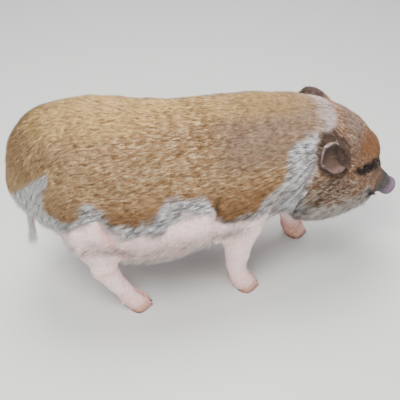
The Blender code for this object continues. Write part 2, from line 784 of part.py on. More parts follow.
def settle(objects):
    """Moves the model so that its box is centred over the origin and stands on the ground."""
    points = [vert.co for obj in objects for vert in obj.data.vertices]
    low = Vector(min(point[axis] for point in points) for axis in range(3))
    high = Vector(max(point[axis] for point in points) for axis in range(3))
    middle = (low + high) / 2
    for obj in objects:
        obj.data.transform(Matrix.Translation((-middle.x, -middle.y, -low.z)))


def main():
    clear_scene()
    skin = make_skin()
    thin_out(skin)
    tree = surface_tree(skin)
    grown = inflated(skin, GAP)
    ears = [make_ear(name, tree, *pose) for name, pose in EARS.items()]
    tail = make_tail()
    keep_out = [surface_tree(obj) for obj in (*ears, tail)]
    for obj in (*ears, tail):
        combine(obj, [duplicate(grown, "skin")], "DIFFERENCE")
        keep_largest(obj)
    combine(tail, make_tassel(), "UNION")
    keep_largest(tail)
    keep_out += [eye_tree(tree, side) for side in (-1, 1)]
    combine(skin, make_coat(tree, keep_out), "UNION")
    combine(skin, [mouth_groove(tree)], "DIFFERENCE")
    make_eyes(skin, tree)
    keep_largest(skin)
    for name, (top, way, stations) in LEG_CUTS.items():
        outward = 1 if name.endswith("left") else -1
        leg = part_off(skin, name, top, -way, FORWARD, LEG_BLOCK)
        foot = Vector(stations[-2][:3])
        point, up = coronet(foot)
        combine(leg, [block(point, up, FORWARD, Vector((0.3, 0.3, 0.1)))], "DIFFERENCE")
        keep_largest(leg)
        make_claws(name, foot, outward)
        ankle = Vector((foot.x - 0.020, foot.y, DEWCLAW_HEIGHT))
        make_dewclaws(name, ankle, outward, grown)
    bpy.data.objects.remove(grown, do_unlink=True)
    head = part_off(skin, "head", HEAD_CUT[0], -HEAD_CUT[1], UP, HALF_SPACE)
    part_off(skin, "neck", NECK_CUT[0], -NECK_CUT[1], UP, HALF_SPACE)
    skin.name = "torso"
    muzzle_end = block(head_point(DISC_BACK - 0.3, 0, 0), HEAD_FORWARD, UP, Vector((0.3, 0.3, 0.3)))
    combine(head, [muzzle_end], "DIFFERENCE")
    keep_largest(head)
    make_snout()
    pig = bpy.data.collections.new("miniature_pig")
    bpy.context.scene.collection.children.link(pig)
    nodes = list(bpy.context.scene.collection.objects)
    for obj in nodes:
        finish(obj.name, obj, pig)
    settle(nodes)


if __name__ == "__main__":
    main()
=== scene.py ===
"""A life-size miniature pig with its head lowered to feed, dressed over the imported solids.

Everything is in metres. Shapes are made in the pig's own frame, where the trunk's widest part is near X = 0,
and each finished piece is moved by SETTLE, which is read from the frame, so that it lies on the solids.
"""

import math
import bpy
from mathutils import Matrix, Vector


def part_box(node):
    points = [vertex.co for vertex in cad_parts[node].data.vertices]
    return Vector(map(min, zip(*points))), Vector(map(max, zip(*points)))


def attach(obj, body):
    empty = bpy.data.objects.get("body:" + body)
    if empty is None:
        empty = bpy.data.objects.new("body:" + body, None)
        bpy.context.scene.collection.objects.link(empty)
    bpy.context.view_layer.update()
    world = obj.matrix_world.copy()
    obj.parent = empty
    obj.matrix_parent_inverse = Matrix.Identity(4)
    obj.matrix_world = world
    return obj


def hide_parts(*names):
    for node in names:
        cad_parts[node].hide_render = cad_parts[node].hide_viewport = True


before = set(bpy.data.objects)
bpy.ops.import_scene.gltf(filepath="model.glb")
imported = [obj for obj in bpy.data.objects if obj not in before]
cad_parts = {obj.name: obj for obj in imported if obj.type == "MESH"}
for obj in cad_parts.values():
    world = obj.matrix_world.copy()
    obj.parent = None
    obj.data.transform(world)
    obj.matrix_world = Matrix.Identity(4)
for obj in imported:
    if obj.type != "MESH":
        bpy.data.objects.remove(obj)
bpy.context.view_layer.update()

from types import SimpleNamespace

import bmesh
import bpy
import numpy as np
from mathutils import Matrix, Vector
from mathutils.bvhtree import BVHTree

LEFT = Vector((0.0, 1.0, 0.0))
UP = Vector((0.0, 0.0, 1.0))


def thousandths(*rows):
    """A table written in millimetres, or in thousandths where it holds a share."""
    return tuple(tuple(value / 1000 for value in row) for row in rows)


def leg_rows(*columns):
    """A leg from its columns in millimetres: x, y, z, half thickness sideways, in front and behind."""
    return tuple(zip(*thousandths(*columns)))


# Body sizes, the same as those of the solids. Spine: x, centre height, half width, above, below, fullness.
SPINE = thousandths(
    (-408, 376, 0, 0, 0, -50), (-402, 374, 42, 50, 48, -50), (-382, 369, 81, 98, 78, -50),
    (-338, 358, 123, 146, 102, -40), (-274, 339, 155, 174, 136, 20), (-190, 318, 177, 180, 180, 80),
    (-100, 306, 180, 180, 188, 120), (-10, 308, 172, 174, 168, 120), (70, 320, 156, 168, 142, 100),
    (140, 332, 142, 156, 128, 60), (210, 338, 128, 140, 122, 20), (270, 334, 118, 124, 118, 0),
    (322, 312, 98, 100, 98, 0), (360, 292, 64, 60, 64, 0), (374, 284, 0, 0, 0, 0),
)
NOSE = Vector((0.465, -0.004, 0.200))
HEAD_PITCH = math.radians(42)
HEAD_YAW = math.radians(-3)
HEAD_FORWARD = Vector((
    math.cos(HEAD_PITCH) * math.cos(HEAD_YAW),
    math.cos(HEAD_PITCH) * math.sin(HEAD_YAW),
    -math.sin(HEAD_PITCH),
))
HEAD_LEFT = Vector((-math.sin(HEAD_YAW), math.cos(HEAD_YAW), 0.0))
HEAD_UP = HEAD_FORWARD.cross(HEAD_LEFT)
HEAD_START = 0.235

# Skull: distance behind the nose, half width, height above, depth below, fullness.
SKULL = thousandths(
    (268, 0, 0, 0, 0), (256, 58, 56, 86, 100), (226, 95, 86, 156, 160), (182, 106, 86, 184, 200),
    (142, 98, 75, 184, 280), (112, 80, 53, 146, 280), (85, 60, 36, 88, 160), (58, 42, 27, 43, 0),
    (34, 34, 26, 33, 0), (10, 30, 26, 29, 0), (0, 0, 0, 0, 0),
)
# Lower jaw: distance behind the nose, distance below the skull's axis, half width, half height.
JAW = thousandths(
    (140, 100, 0, 0), (130, 94, 40, 30), (100, 74, 38, 26), (72, 58, 29, 19), (50, 47, 23, 13),
    (34, 41, 17, 10), (26, 39, 0, 0),
)
LEGS = {
    "foreleg_right": leg_rows(
        (90, 90, 86, 80, 80, 82, 92, 105, 107),
        (-92, -98, -102, -98, -90, -86, -84, -83, -83),
        (350, 310, 240, 180, 122, 75, 42, 14, 6),
        (0, 48, 42, 32, 27, 24, 28, 28, 0),
        (0, 70, 58, 40, 28, 25, 28, 30, 0),
        (0, 70, 56, 38, 29, 26, 31, 30, 0),
    ),
    "foreleg_left": leg_rows(
        (130, 140, 174, 212, 240, 252, 262, 274, 276),
        (92, 98, 102, 98, 90, 86, 84, 83, 83),
        (350, 310, 240, 180, 122, 75, 42, 14, 6),
        (0, 48, 42, 31, 26, 24, 28, 28, 0),
        (0, 70, 54, 38, 28, 25, 28, 30, 0),
        (0, 70, 58, 43, 32, 26, 31, 30, 0),
    ),
    "hindleg_right": leg_rows(
        (-270, -266, -250, -232, -222, -202, -180, -160, -156),
        (-80, -92, -104, -110, -110, -108, -106, -104, -104),
        (350, 310, 232, 178, 134, 84, 44, 14, 6),
        (0, 58, 50, 35, 26, 23, 26, 27, 0),
        (0, 70, 50, 36, 27, 23, 26, 28, 0),
        (0, 56, 46, 32, 28, 23, 27, 28, 0),
    ),
    "hindleg_left": leg_rows(
        (-290, -288, -286, -284, -282, -270, -256, -242, -238),
        (80, 92, 104, 108, 106, 104, 102, 100, 100),
        (350, 310, 232, 176, 132, 84, 44, 14, 6),
        (0, 60, 52, 36, 27, 23, 26, 27, 0),
        (0, 80, 56, 38, 28, 23, 25, 28, 0),
        (0, 60, 52, 36, 31, 24, 28, 28, 0),
    ),
}
FOOT_ROW = 7
FOOT_SLIMMING = 0.14
SOLE_HEIGHT = 0.001
# Nose disc: distance behind the nose, half width, height above, depth below.
DISC = thousandths(
    (20, 0, 0, 0), (19, 24, 21, 23), (12, 29, 25.5, 27.5), (7, 31.5, 28.5, 29.5), (2, 32, 29, 30),
    (-1.2, 30.5, 27.5, 28.5), (-2.4, 27, 24, 25), (-1.6, 20, 18, 19), (-0.8, 10, 9, 9.5), (-0.6, 0, 0, 0),
)
NOSTRIL_RADIUS = 0.0062
NOSTRIL_SIDE = 0.0132
NOSTRIL_UP = 0.002
# Nostril: distance behind the nose, and the share of its radius.
NOSTRIL = ((0.0125, 0.0), (0.0120, 0.7), (0.006, 0.95), (-0.001, 1.05), (-0.010, 1.2), (-0.0105, 0.0))
# How much slimmer the muzzle is than its solid: distance behind the nose, and share kept.
MUZZLE_SLIMMING = ((0.0, 0.021, 0.031, 0.050, 0.070, 0.090), (0.80, 0.80, 0.71, 0.79, 0.92, 1.0))
# Mouth: its line runs round the muzzle from one corner to the other.
MOUTH_FRONT = 0.026
MOUTH_CORNER = 0.112
MOUTH_CORNER_ANGLE = math.radians(66)
# Wrinkles over the muzzle: distance behind the nose, width and depth.
WRINKLES = thousandths((100, 3.4, 2.2), (86, 3.0, 1.8), (73, 2.8, 1.6), (61, 2.6, 1.3), (50, 2.4, 1.0))
# Creases seen from the side: depth, width, how far out they start, and their line.
CREASES = (
    (0.0040, 0.0050, 0.08, ((0.016, 0.300), (0.040, 0.287), (0.090, 0.289))),
    (0.006, 0.009, 0.06, ((0.020, 0.200), (0.016, 0.260), (0.022, 0.315))),
    (0.006, 0.012, 0.06, ((-0.190, 0.215), (-0.200, 0.270), (-0.222, 0.330))),
)
FORELEG_TOP = ((0.014, 0.300), (0.040, 0.287), (0.088, 0.289))
THIGH_FRONT = ((-0.190, 0.215), (-0.205, 0.270), (-0.222, 0.320))
JOWL_FOLD = ((0.290, -0.005), (0.276, -0.050), (0.252, -0.090), (0.205, -0.140))


def ear_frame(side, back, above, axis, face):
    """An ear's side, its root's place, and the ways to its tip, out of its cup and across it."""
    axis, face = Vector(axis).normalized(), Vector(face)
    face = (face - axis * face.dot(axis)).normalized()
    return side, back, above, axis, face, axis.cross(face)


EARS = (
    ear_frame(-1, 0.264, 0.024, (-0.78, -0.56, 0.20), (0.47, -0.60, 0.65)),
    ear_frame(1, 0.242, 0.032, (-0.62, 0.72, -0.13), (0.30, 0.90, 0.10)),
)
EAR_LENGTH = 0.078
EAR_SUNK = 0.023
EAR_THICKNESS = 0.0040
# Ear, from root to tip: half width, depth of the cup and bend towards its face.
EAR = thousandths((10, 1, 4), (21, 6, 7), (30, 12, 8), (32, 11, 10), (26, 6, 13), (6, 1, 18))
# Tail: x, z and radius.
TAIL = thousandths(
    (-366, 342, 0), (-372, 340, 15), (-391, 332, 14), (-399, 312, 11), (-393, 286, 8.5), (-382, 258, 7.2),
    (-378, 232, 6.4), (-380, 205, 5.6), (-382, 188, 4), (-383, 180, 0),
)
TAIL_FRONT = -0.376
TAIL_TOP = 0.31
# Claws: ahead of the foot's axis, height, half width, in front and behind.
CLAW = thousandths(
    (-6, 60, 0, 0, 0), (-4, 50, 24, 25, 24), (0, 30, 27, 29, 27), (5, 10, 29, 32, 28), (8, -6, 29, 32, 28),
    (10, -10, 0, 0, 0),
)
CORONET_HEIGHT = 0.026
CORONET_SLOPE = 0.28
CLAW_AHEAD = -0.003
CLEFT = 0.0018
GAP = 0.0003
# Dewclaws: distance from the root, and radius.
DEWCLAW = thousandths((0, 0), (2, 7.2), (12, 7), (23, 4.6), (27, 0))
DEWCLAW_HEIGHT = 0.050
DEWCLAW_SIDE = 0.015

# Skin
SKIN_VOXEL = 0.0053
SKIN_SMOOTHING = 11
COAT_DEPTH = 0.0035
EYE_RADIUS = 0.011
LID_OPENING = Vector((0.0088, 0.0044))
# The eye's dark rim, iris and pupil: outer radius, inner radius and colour.
EYE_RINGS = (
    (0.0072, 0.0066, (30, 19, 14)),
    (0.0062, 0.0052, (44, 27, 17)),
    (0.0034, 0.0028, (8, 6, 6)),
)

# Coat: name, region, tufts, and its shares of length, width and rise.
COAT_LAYERS = (
    ("undercoat_a", "trunk", 48000, 0.80, 1.20, 0.12),
    ("undercoat_b", "trunk", 48000, 0.88, 1.12, 0.15),
    ("coat_a", "trunk", 48000, 1.00, 0.98, 0.19),
    ("coat_b", "trunk", 48000, 1.06, 0.92, 0.23),
    ("guard_hairs", "trunk", 46000, 1.30, 0.76, 0.30),
    ("face_hair_a", "head", 46000, 0.9, 1.0, 0.12),
    ("face_hair_b", "head", 46000, 1.15, 0.85, 0.20),
    ("fine_hair", "limbs", 24000, 1.0, 1.0, 0.12),
    ("bristles", "bristles", 17000, 1.0, 1.0, 0.26),
)
PATCH = 0.003
LOCK_FACES = (
    (0, 1, 2), (0, 4, 1), (0, 3, 4), (1, 5, 2), (1, 4, 5), (2, 3, 0), (2, 5, 3), (3, 6, 4), (4, 6, 5),
    (5, 6, 3),
)
SPIKE_FACES = ((0, 1, 2), (0, 3, 1), (1, 3, 2), (2, 3, 0))

# Camera, worked out from the photo's outline.
CAMERA_AZIMUTH = math.radians(-9)
CAMERA_ELEVATION = math.radians(41)
CAMERA_DISTANCE = 1.5
CAMERA_TARGET = Vector((0.0, -0.043, 0.26))
CAMERA_RIGHT = np.array((math.cos(CAMERA_AZIMUTH), math.sin(CAMERA_AZIMUTH), 0.0))
CAMERA_BACK = np.array((
    math.sin(CAMERA_AZIMUTH) * math.cos(CAMERA_ELEVATION),
    -math.cos(CAMERA_AZIMUTH) * math.cos(CAMERA_ELEVATION),
    math.sin(CAMERA_ELEVATION),
))
PIXELS_PER_METRE = 445.0
IMAGE_SIZE = 400
SENSOR = 36.0

# Markings: the lower edge of the brown coat and of the pale band under it, as x and height in millimetres.
BROWN_EDGE = thousandths(
    (-420, 335), (-380, 345), (-339, 346), (-322, 332), (-288, 319), (-263, 349), (-254, 373), (-236, 381),
    (-224, 369), (-211, 342), (-195, 324), (-169, 321), (-139, 320), (-114, 335), (-95, 359), (-65, 360),
    (-21, 366), (-8, 357), (6, 335), (16, 308), (41, 292), (72, 295), (106, 301), (127, 328), (152, 349),
    (170, 368), (173, 400), (181, 417), (207, 428), (260, 440), (300, 445),
)
BAND_EDGE = thousandths(
    (-420, 290), (-306, 296), (-230, 330), (-213, 322), (-177, 294), (-137, 293), (-93, 298), (-61, 324),
    (-21, 333), (6, 316), (20, 297), (41, 281), (72, 283), (100, 285), (127, 286), (150, 250), (180, 200),
)
# Where the face begins: above the skull's axis, and distance behind the nose.
CHEEK_EDGE = thousandths((-190, 150), (-120, 191), (-79, 256), (-52, 274), (-23, 278), (18, 313), (60, 325))

# Markings of the head and rump, and the painted shade, shadow and highlight among them, as outlines in pixels
# where the camera sees them.
NECK_BAND = (
    (262, 236), (284, 204), (289, 170), (300, 148), (318, 138), (323, 150), (321, 172), (312, 184),
    (306, 200),
    (310, 214), (330, 222), (300, 240),
)
POLL_STREAK = ((319, 97), (326, 98), (334, 107), (335, 121), (332, 131), (326, 133), (325, 121), (322, 110))
EAR_SHADOW = (
    (319, 138), (324, 132), (336, 130), (346, 134), (352, 144), (352, 160), (346, 172), (330, 178),
    (320, 170),
    (317, 152),
)
FOREHEAD = (
    (344, 106), (356, 112), (372, 124), (384, 140), (386, 157), (372, 160), (358, 160), (352, 146),
    (350, 130),
    (344, 118),
)
# A dark band over the eyes and the stop: partly dark hair and skin, partly painted shade of the fold at the
# stop and of the sunken eyes.
EYE_STRIPE_AND_FOLD_SHADE = (
    (354, 172), (360, 167), (368, 163), (376, 158), (388, 153), (388, 160), (378, 166), (371, 173),
    (361, 175),
)
CHEEK_FLECKS = (
    (308, 176), (330, 181), (350, 178), (358, 186), (350, 198), (335, 208), (302, 210), (303, 190),
)
JAW_LINE = ((370, 186), (364, 189), (350, 199), (336, 205), (300, 208), (296, 232), (360, 228), (372, 196))
# Painted shadow round the mouth, under the snout.
MOUTH_SHADOW = ((368, 191), (374, 189), (388, 190), (394, 202), (372, 208), (366, 200))
JAW_BULGE = ((368, 194), (354, 203), (342, 208), (322, 210), (300, 210))
MUZZLE = ((384, 166), (394, 162), (402, 200), (370, 200), (376, 188), (382, 180))
HAM = (
    (-30, 90), (-30, 193), (19, 193), (22, 190), (30, 184), (38, 178), (46, 176), (49, 180), (44, 188),
    (41, 194), (40, 204), (46, 213), (59, 222), (72, 223), (79, 218), (81, 207), (86, 203), (96, 207),
    (105, 217), (114, 222), (124, 90),
)
# Painted shade: a dark stroke in the fold between the foreleg and the belly.
ELBOW_FOLD_SHADE = ((219, 195), (222, 198), (219, 208), (215, 218), (211, 215), (214, 205))
LEG_LINE = ((224, 218), (238, 219), (253, 214), (255, 217), (239, 222), (224, 221))
# Painted highlight along the top of the near ear's rim, where the light from above catches it.
EAR_RIM_HIGHLIGHT = (
    (319, 148), (323, 144), (328, 142), (334, 141), (340, 142), (345, 144), (349, 148), (349, 158),
    (346, 160),
    (345, 150), (341, 146), (334, 144), (328, 145), (324, 147), (321, 151),
)


def new_object(name, mesh):
    obj = bpy.data.objects.new(name, mesh)
    bpy.context.scene.collection.objects.link(obj)
    return obj


def draw(bm, name):
    """Turns a bmesh into an object."""
    bmesh.ops.recalc_face_normals(bm, faces=bm.faces)
    mesh = bpy.data.meshes.new(name)
    bm.to_mesh(mesh)
    bm.free()
    return new_object(name, mesh)


def opened(obj):
    bm = bmesh.new()
    bm.from_mesh(obj.data)
    bm.verts.ensure_lookup_table()
    return bm


def closed(bm, obj):
    bm.to_mesh(obj.data)
    bm.free()
    return obj


def smooth_shading(obj):
    obj.data.polygons.foreach_set("use_smooth", [True] * len(obj.data.polygons))
    obj.data.update()
    return obj


def spline(rows, place):
    """A smooth value between rows of numbers; place runs from 0 to 1."""
    at = place * (len(rows) - 1)
    i = min(int(at), len(rows) - 2)
    t = at - i
    near = rows[max(i - 1, 0)], rows[i], rows[i + 1], rows[min(i + 2, len(rows) - 1)]
    return [
        0.5 * (2 * b + (c - a) * t + (2 * a - 5 * b + 4 * c - d) * t**2 + (3 * b - a - 3 * c + d) * t**3)
        for a, b, c, d in zip(*near)
    ]


def loft(name, stations, around, along, left=LEFT):
    """A closed round body. A station is a centre, half width, height above, depth below and fullness."""
    bm = bmesh.new()
    bmesh.ops.create_grid(bm, x_segments=around, y_segments=along, size=0.5)
    frames = {}
    for vert in bm.verts:
        angle = (vert.co.x + 0.5) * 2 * math.pi
        place = round(vert.co.y + 0.5, 6)
        if place not in frames:
            x, y, z, *section = spline(stations, place)
            ahead = Vector(spline(stations, min(place + 0.01, 1.0))[:3])
            behind = Vector(spline(stations, max(place - 0.01, 0.0))[:3])
            forward = (ahead - behind).normalized()
            side = (left - forward * left.dot(forward)).normalized()
            frames[place] = (Vector((x, y, z)), side, forward.cross(side), *section)
        centre, side, up, wide, above, below, fullness = frames[place]
        rise = math.cos(angle)
        wide = max(wide, 0.0) * (1 - fullness * rise)
        tall = max(above if rise > 0 else below, 0.0)
        if place in (0.0, 1.0):
            wide = tall = 0.0
        vert.co = centre + side * (wide * math.sin(angle)) + up * (tall * rise)
    bmesh.ops.remove_doubles(bm, verts=bm.verts, dist=1e-5)
    return draw(bm, name)


def bake(obj):
    """Applies every modifier."""
    bpy.context.view_layer.update()
    graph = bpy.context.evaluated_depsgraph_get()
    mesh = bpy.data.meshes.new_from_object(obj.evaluated_get(graph))
    obj.modifiers.clear()
    obj.data = mesh
    return obj


def combine(base, pieces, operation):
    """One Boolean with closed pieces, applied; the pieces are then removed."""
    group = bpy.data.collections.new("pieces")
    bpy.context.scene.collection.children.link(group)
    for piece in pieces:
        bpy.context.scene.collection.objects.unlink(piece)
        group.objects.link(piece)
    boolean = base.modifiers.new("combine", "BOOLEAN")
    boolean.operation = operation
    boolean.solver = "MANIFOLD"
    boolean.operand_type = "COLLECTION"
    boolean.collection = group
    bake(base)
    for piece in pieces:
        bpy.data.objects.remove(piece, do_unlink=True)
    bpy.data.collections.remove(group)
    return base


def head_point(back, side, above):
    """A place in the skull's frame: distance behind the nose, to the left and above its axis."""
    return NOSE - HEAD_FORWARD * back + HEAD_LEFT * side + HEAD_UP * above


def surface_tree(obj):
    bpy.context.view_layer.update()
    return BVHTree.FromObject(obj, bpy.context.evaluated_depsgraph_get())


def corner_values(mesh, kind):
    """Every corner's place, as co, or its normal."""
    found = np.empty(len(mesh.vertices) * 3)
    mesh.vertices.foreach_get(kind, found)
    return found.reshape(-1, 3)


def set_coordinates(mesh, points):
    mesh.vertices.foreach_set("co", points.ravel())
    mesh.update()


def ramp(values, low, high):
    """0 below low, 1 above high, smooth between; low may be the larger."""
    t = np.clip((values - low) / (high - low), 0.0, 1.0)
    return t * t * (3 - 2 * t)


def bell(values, middle, width):
    """1 at the middle, falling off smoothly to both sides."""
    return np.exp(-(((values - middle) / width) ** 2))


def unit(vectors):
    return vectors / np.maximum(np.linalg.norm(vectors, axis=1), 1e-6)[:, None]


def head_frame(points):
    """Distance behind the nose, to the left, and above the skull's axis, for many points."""
    offset = points - np.array(NOSE)
    return -offset @ np.array(HEAD_FORWARD), offset @ np.array(HEAD_LEFT), offset @ np.array(HEAD_UP)


def eye_distance(points):
    """How far each place is from the nearer eye's centre."""
    return np.min([np.linalg.norm(points - np.array(eye[1]), axis=1) for eye in EYES], axis=0)


def distance_to_path(points, path):
    """How far each point is from a line of places."""
    nearest = np.full(len(points), 1e9)
    for start, end in zip(path[:-1], path[1:]):
        start, end = np.array(start, float), np.array(end, float)
        way = end - start
        along = np.clip((points - start) @ way / (way @ way), 0, 1)
        nearest = np.minimum(nearest, np.linalg.norm(points - start - along[:, None] * way, axis=1))
    return nearest


def side_distance(points, path):
    """How far each place is from a line drawn in side view."""
    return distance_to_path(points[:, [0, 2]], path)


def waves(points, scale, seed, count=6):
    """Cheap smooth noise between -1 and 1: a few sine waves in random directions."""
    draws = np.random.default_rng(seed)
    total = np.zeros(len(points))
    for _ in range(count):
        way = draws.normal(size=3)
        way *= 2 * math.pi / (scale * np.linalg.norm(way)) * draws.uniform(0.6, 1.6)
        total += np.sin(points @ way + draws.uniform(0, 6.28))
    return total * 0.816 / math.sqrt(count)


def leg_values(rows, z, *columns):
    """A leg's columns at these heights."""
    heights = [row[2] for row in rows[::-1]]
    return [np.interp(z, heights, [row[i] for row in rows[::-1]]) for i in columns]


def leg_share(points):
    """1 on the legs, fading out where they join the body."""
    share = np.zeros(len(points))
    for rows in LEGS.values():
        x, y, wide, front = leg_values(rows, points[:, 2], 0, 1, 3, 4)
        ahead = (points[:, 0] - x) / np.maximum(front, 0.02)
        aside = (points[:, 1] - y) / np.maximum(wide, 0.02)
        share = np.maximum(share, ramp(np.hypot(ahead, aside), 1.75, 1.35))
    return share * ramp(points[:, 2], 0.235, 0.205)


def coat_share(points):
    """How much coat a place carries, from 0 on bare skin to 1 on the back."""
    on_head = points[:, 0] > HEAD_START
    return np.where(on_head, ramp(head_frame(points)[0], 0.060, 0.135), ramp(points[:, 2], 0.150, 0.230))


def mouth_path():
    """The line of the mouth, as rays in the head's frame."""
    rays = []
    for i in range(25):
        turn = 2 * i / 24 - 1
        angle = turn * MOUTH_CORNER_ANGLE
        back = MOUTH_FRONT + (MOUTH_CORNER - MOUTH_FRONT) * abs(turn) ** 1.6
        way = HEAD_LEFT * math.sin(angle) - HEAD_UP * math.cos(angle)
        rays.append((head_point(back, 0.0, -0.004), way))
    return rays


def fused_body():
    """Trunk, skull, jaw and legs as one even, smooth surface."""
    trunk = loft("skin", [(x, 0.0, z, *section) for x, z, *section in SPINE], 60, 76)
    head = loft("skull", [(*head_point(back, 0, 0), *rest) for back, *rest in SKULL], 48, 60, HEAD_LEFT)
    jaw_rows = [(*head_point(back, 0, -drop), wide, tall, tall, 0.0) for back, drop, wide, tall in JAW]
    jaw = loft("jaw", jaw_rows, 28, 24, HEAD_LEFT)
    legs = [loft("leg", [(*row, 0.0) for row in rows], 32, 48) for rows in LEGS.values()]
    skin = combine(trunk, [head, jaw, *legs], "UNION")
    remesh = skin.modifiers.new("remesh", "REMESH")
    remesh.mode = "VOXEL"
    remesh.voxel_size = SKIN_VOXEL
    smooth = skin.modifiers.new("smooth", "SMOOTH")
    smooth.factor = 0.5
    smooth.iterations = SKIN_SMOOTHING
    return bake(skin)


def refine(obj, chosen):
    """Splits the faces whose corners are all chosen."""
    bm = opened(obj)
    picked = set(np.flatnonzero(chosen))
    edges = [edge for edge in bm.edges if edge.verts[0].index in picked and edge.verts[1].index in picked]
    bmesh.ops.subdivide_edges(bm, edges=edges, cuts=1, use_grid_fill=True)
    closed(bm, obj)


def soften(obj, chosen, rounds):
    """Smooths the chosen corners only."""
    bm = opened(obj)
    picked = [bm.verts[i] for i in np.flatnonzero(chosen)]
    for _ in range(rounds):
        bmesh.ops.smooth_vert(bm, verts=picked, factor=0.5, use_axis_x=True, use_axis_y=True, use_axis_z=True)
    closed(bm, obj)


def eye_frames():
    """Each eye's centre, as packed, with the way ahead, up the face and out of it."""
    frames = []
    for name, side in (("eye_right", -1), ("eye_left", 1)):
        low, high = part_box(name)
        centre = (low + high) / 2 - SETTLE
        out = (HEAD_LEFT * side * 0.86 + HEAD_UP * 0.42 + HEAD_FORWARD * 0.28).normalized()
        ahead = (HEAD_FORWARD - out * out.dot(HEAD_FORWARD)).normalized()
        up = out.cross(ahead) * -side
        frames.append((name, centre, ahead, up, out))
    return frames


def make_ear(skin, side, back, above, axis, face, across):
    """One ear: a leaf bent into a cup, with its root sunk in the head."""
    root = surface_tree(skin).ray_cast(head_point(back, side * 0.3, above), -side * HEAD_LEFT)[0]
    EAR_ROOTS[side] = root
    bm = bmesh.new()
    bmesh.ops.create_grid(bm, x_segments=30, y_segments=36, size=0.5)
    for vert in bm.verts:
        place = vert.co.y + 0.5
        turn = vert.co.x * 2
        turned = -turn * side
        half, cup, bend = spline(EAR, place)
        rim = 0.0024 * bell(abs(turn), 0.90, 0.09) * min(1.0, 5 * place)
        hollow = 0.0050 * bell(turned, 0.15, 0.42) * bell(place, 0.55, 0.24)
        folds = 0.0034 * bell(turned - 0.5 * (place - 0.5), 0.10, 0.10) * bell(place, 0.42, 0.18)
        folds += 0.0022 * bell(turned, -0.38, 0.10) * bell(place, 0.50, 0.22)
        along = axis * (place * (EAR_LENGTH + EAR_SUNK) - EAR_SUNK)
        level = float(cup * turn**2 + bend + rim - hollow + folds)
        vert.co = root + along + across * (half * turn) + face * level
    ear = draw(bm, "ear")
    thicken = ear.modifiers.new("thicken", "SOLIDIFY")
    thicken.thickness = EAR_THICKNESS
    thicken.offset = 0.0
    return bake(ear)


def make_snout():
    """The bare disc of the nose with two nostrils that lead in."""
    rows = [(*head_point(back, 0.0, 0.0), *section, 0.0) for back, *section in DISC]
    snout = loft("snout", rows, 72, 30, HEAD_LEFT)
    wells = []
    for side in (-1, 1):
        rows = []
        for back, size in NOSTRIL:
            middle = head_point(back, side * (NOSTRIL_SIDE - back * 0.15), NOSTRIL_UP)
            radius = NOSTRIL_RADIUS * size
            rows.append((*middle, radius * 0.95, radius * 1.1, radius, 0.0))
        wells.append(loft("well", rows, 28, 14, HEAD_LEFT))
    return combine(snout, wells, "DIFFERENCE")


def make_skin():
    """The whole hide in one piece: body, ears, snout and tail."""
    skin = fused_body()
    ears = [make_ear(skin, *ear) for ear in EARS]
    tail = loft("tail", [(x, 0.0, z, radius, radius, radius, 0.0) for x, z, radius in TAIL], 20, 60)
    points = corner_values(skin.data, "co")
    depth = COAT_DEPTH * coat_share(points)
    set_coordinates(skin.data, points - corner_values(skin.data, "normal") * depth[:, None])
    combine(skin, [*ears, make_snout(), tail], "UNION")
    points = corner_values(skin.data, "co")
    back, across, above = head_frame(points)
    soften(skin, (back > 0.010) & (back < 0.030) & (np.hypot(across, above) < 0.06), 4)
    on_head = (points[:, 0] > 0.20) & (back < 0.225) & (back > 0.022) & (points[:, 2] > 0.12)
    refine(skin, on_head & (ear_places(points)[0] == 0))
    refine(skin, toe_groove(corner_values(skin.data, "co")) > 0.001)
    for reach in (0.034, 0.024):
        refine(skin, eye_distance(corner_values(skin.data, "co")) < reach)
    return skin


def draw_in(points):
    """The muzzle drawn in, lifted and made slimmer behind its disc."""
    back, across, above = head_frame(points)
    share = ramp(np.hypot(across, above), 0.120, 0.090) * (points[:, 0] > 0.25) * (points[:, 2] > 0.08)
    share = share * ramp(eye_distance(points), 0.017, 0.034)
    near = ramp(back, 0.100, 0.030)
    slim = np.interp(back, *MUZZLE_SLIMMING) - 1
    slim = slim * (1 - 0.35 * ramp(back, 0.022, 0.034) * ramp(above, 0.004, -0.012))
    move = np.outer(-0.006 * near, HEAD_FORWARD) + np.outer(across * slim, HEAD_LEFT)
    slim = slim - 0.10 * ramp(above, -0.004, -0.016) * ramp(back, 0.040, 0.020)
    move += np.outer(above * slim + 0.0074 * near, HEAD_UP)
    return points + share[:, None] * move


def small_feet(points):
    """The feet made a little narrower and shorter round each leg's own axis."""
    points = points.copy()
    share = FOOT_SLIMMING * ramp(points[:, 2], 0.090, 0.055)
    for rows in LEGS.values():
        offset = points[:, :2] - np.stack(leg_values(rows, points[:, 2], 0, 1), axis=1)
        near = (np.linalg.norm(offset, axis=1) < 0.065) & (points[:, 2] < 0.10)
        points[:, :2] -= offset * (share * near)[:, None]
    return points


def toe_groove(points):
    """1 along the groove between the two toes of each foot, fading out up the pastern."""
    groove = np.zeros(len(points))
    for rows in LEGS.values():
        ahead, aside = points[:, 0] - rows[FOOT_ROW][0], points[:, 1] - rows[FOOT_ROW][1]
        near = (ahead > -0.006) & (ahead < 0.05)
        groove = np.maximum(groove, near * bell(aside, 0, 0.0042) * ramp(points[:, 2], 0.068, 0.040))
    return groove


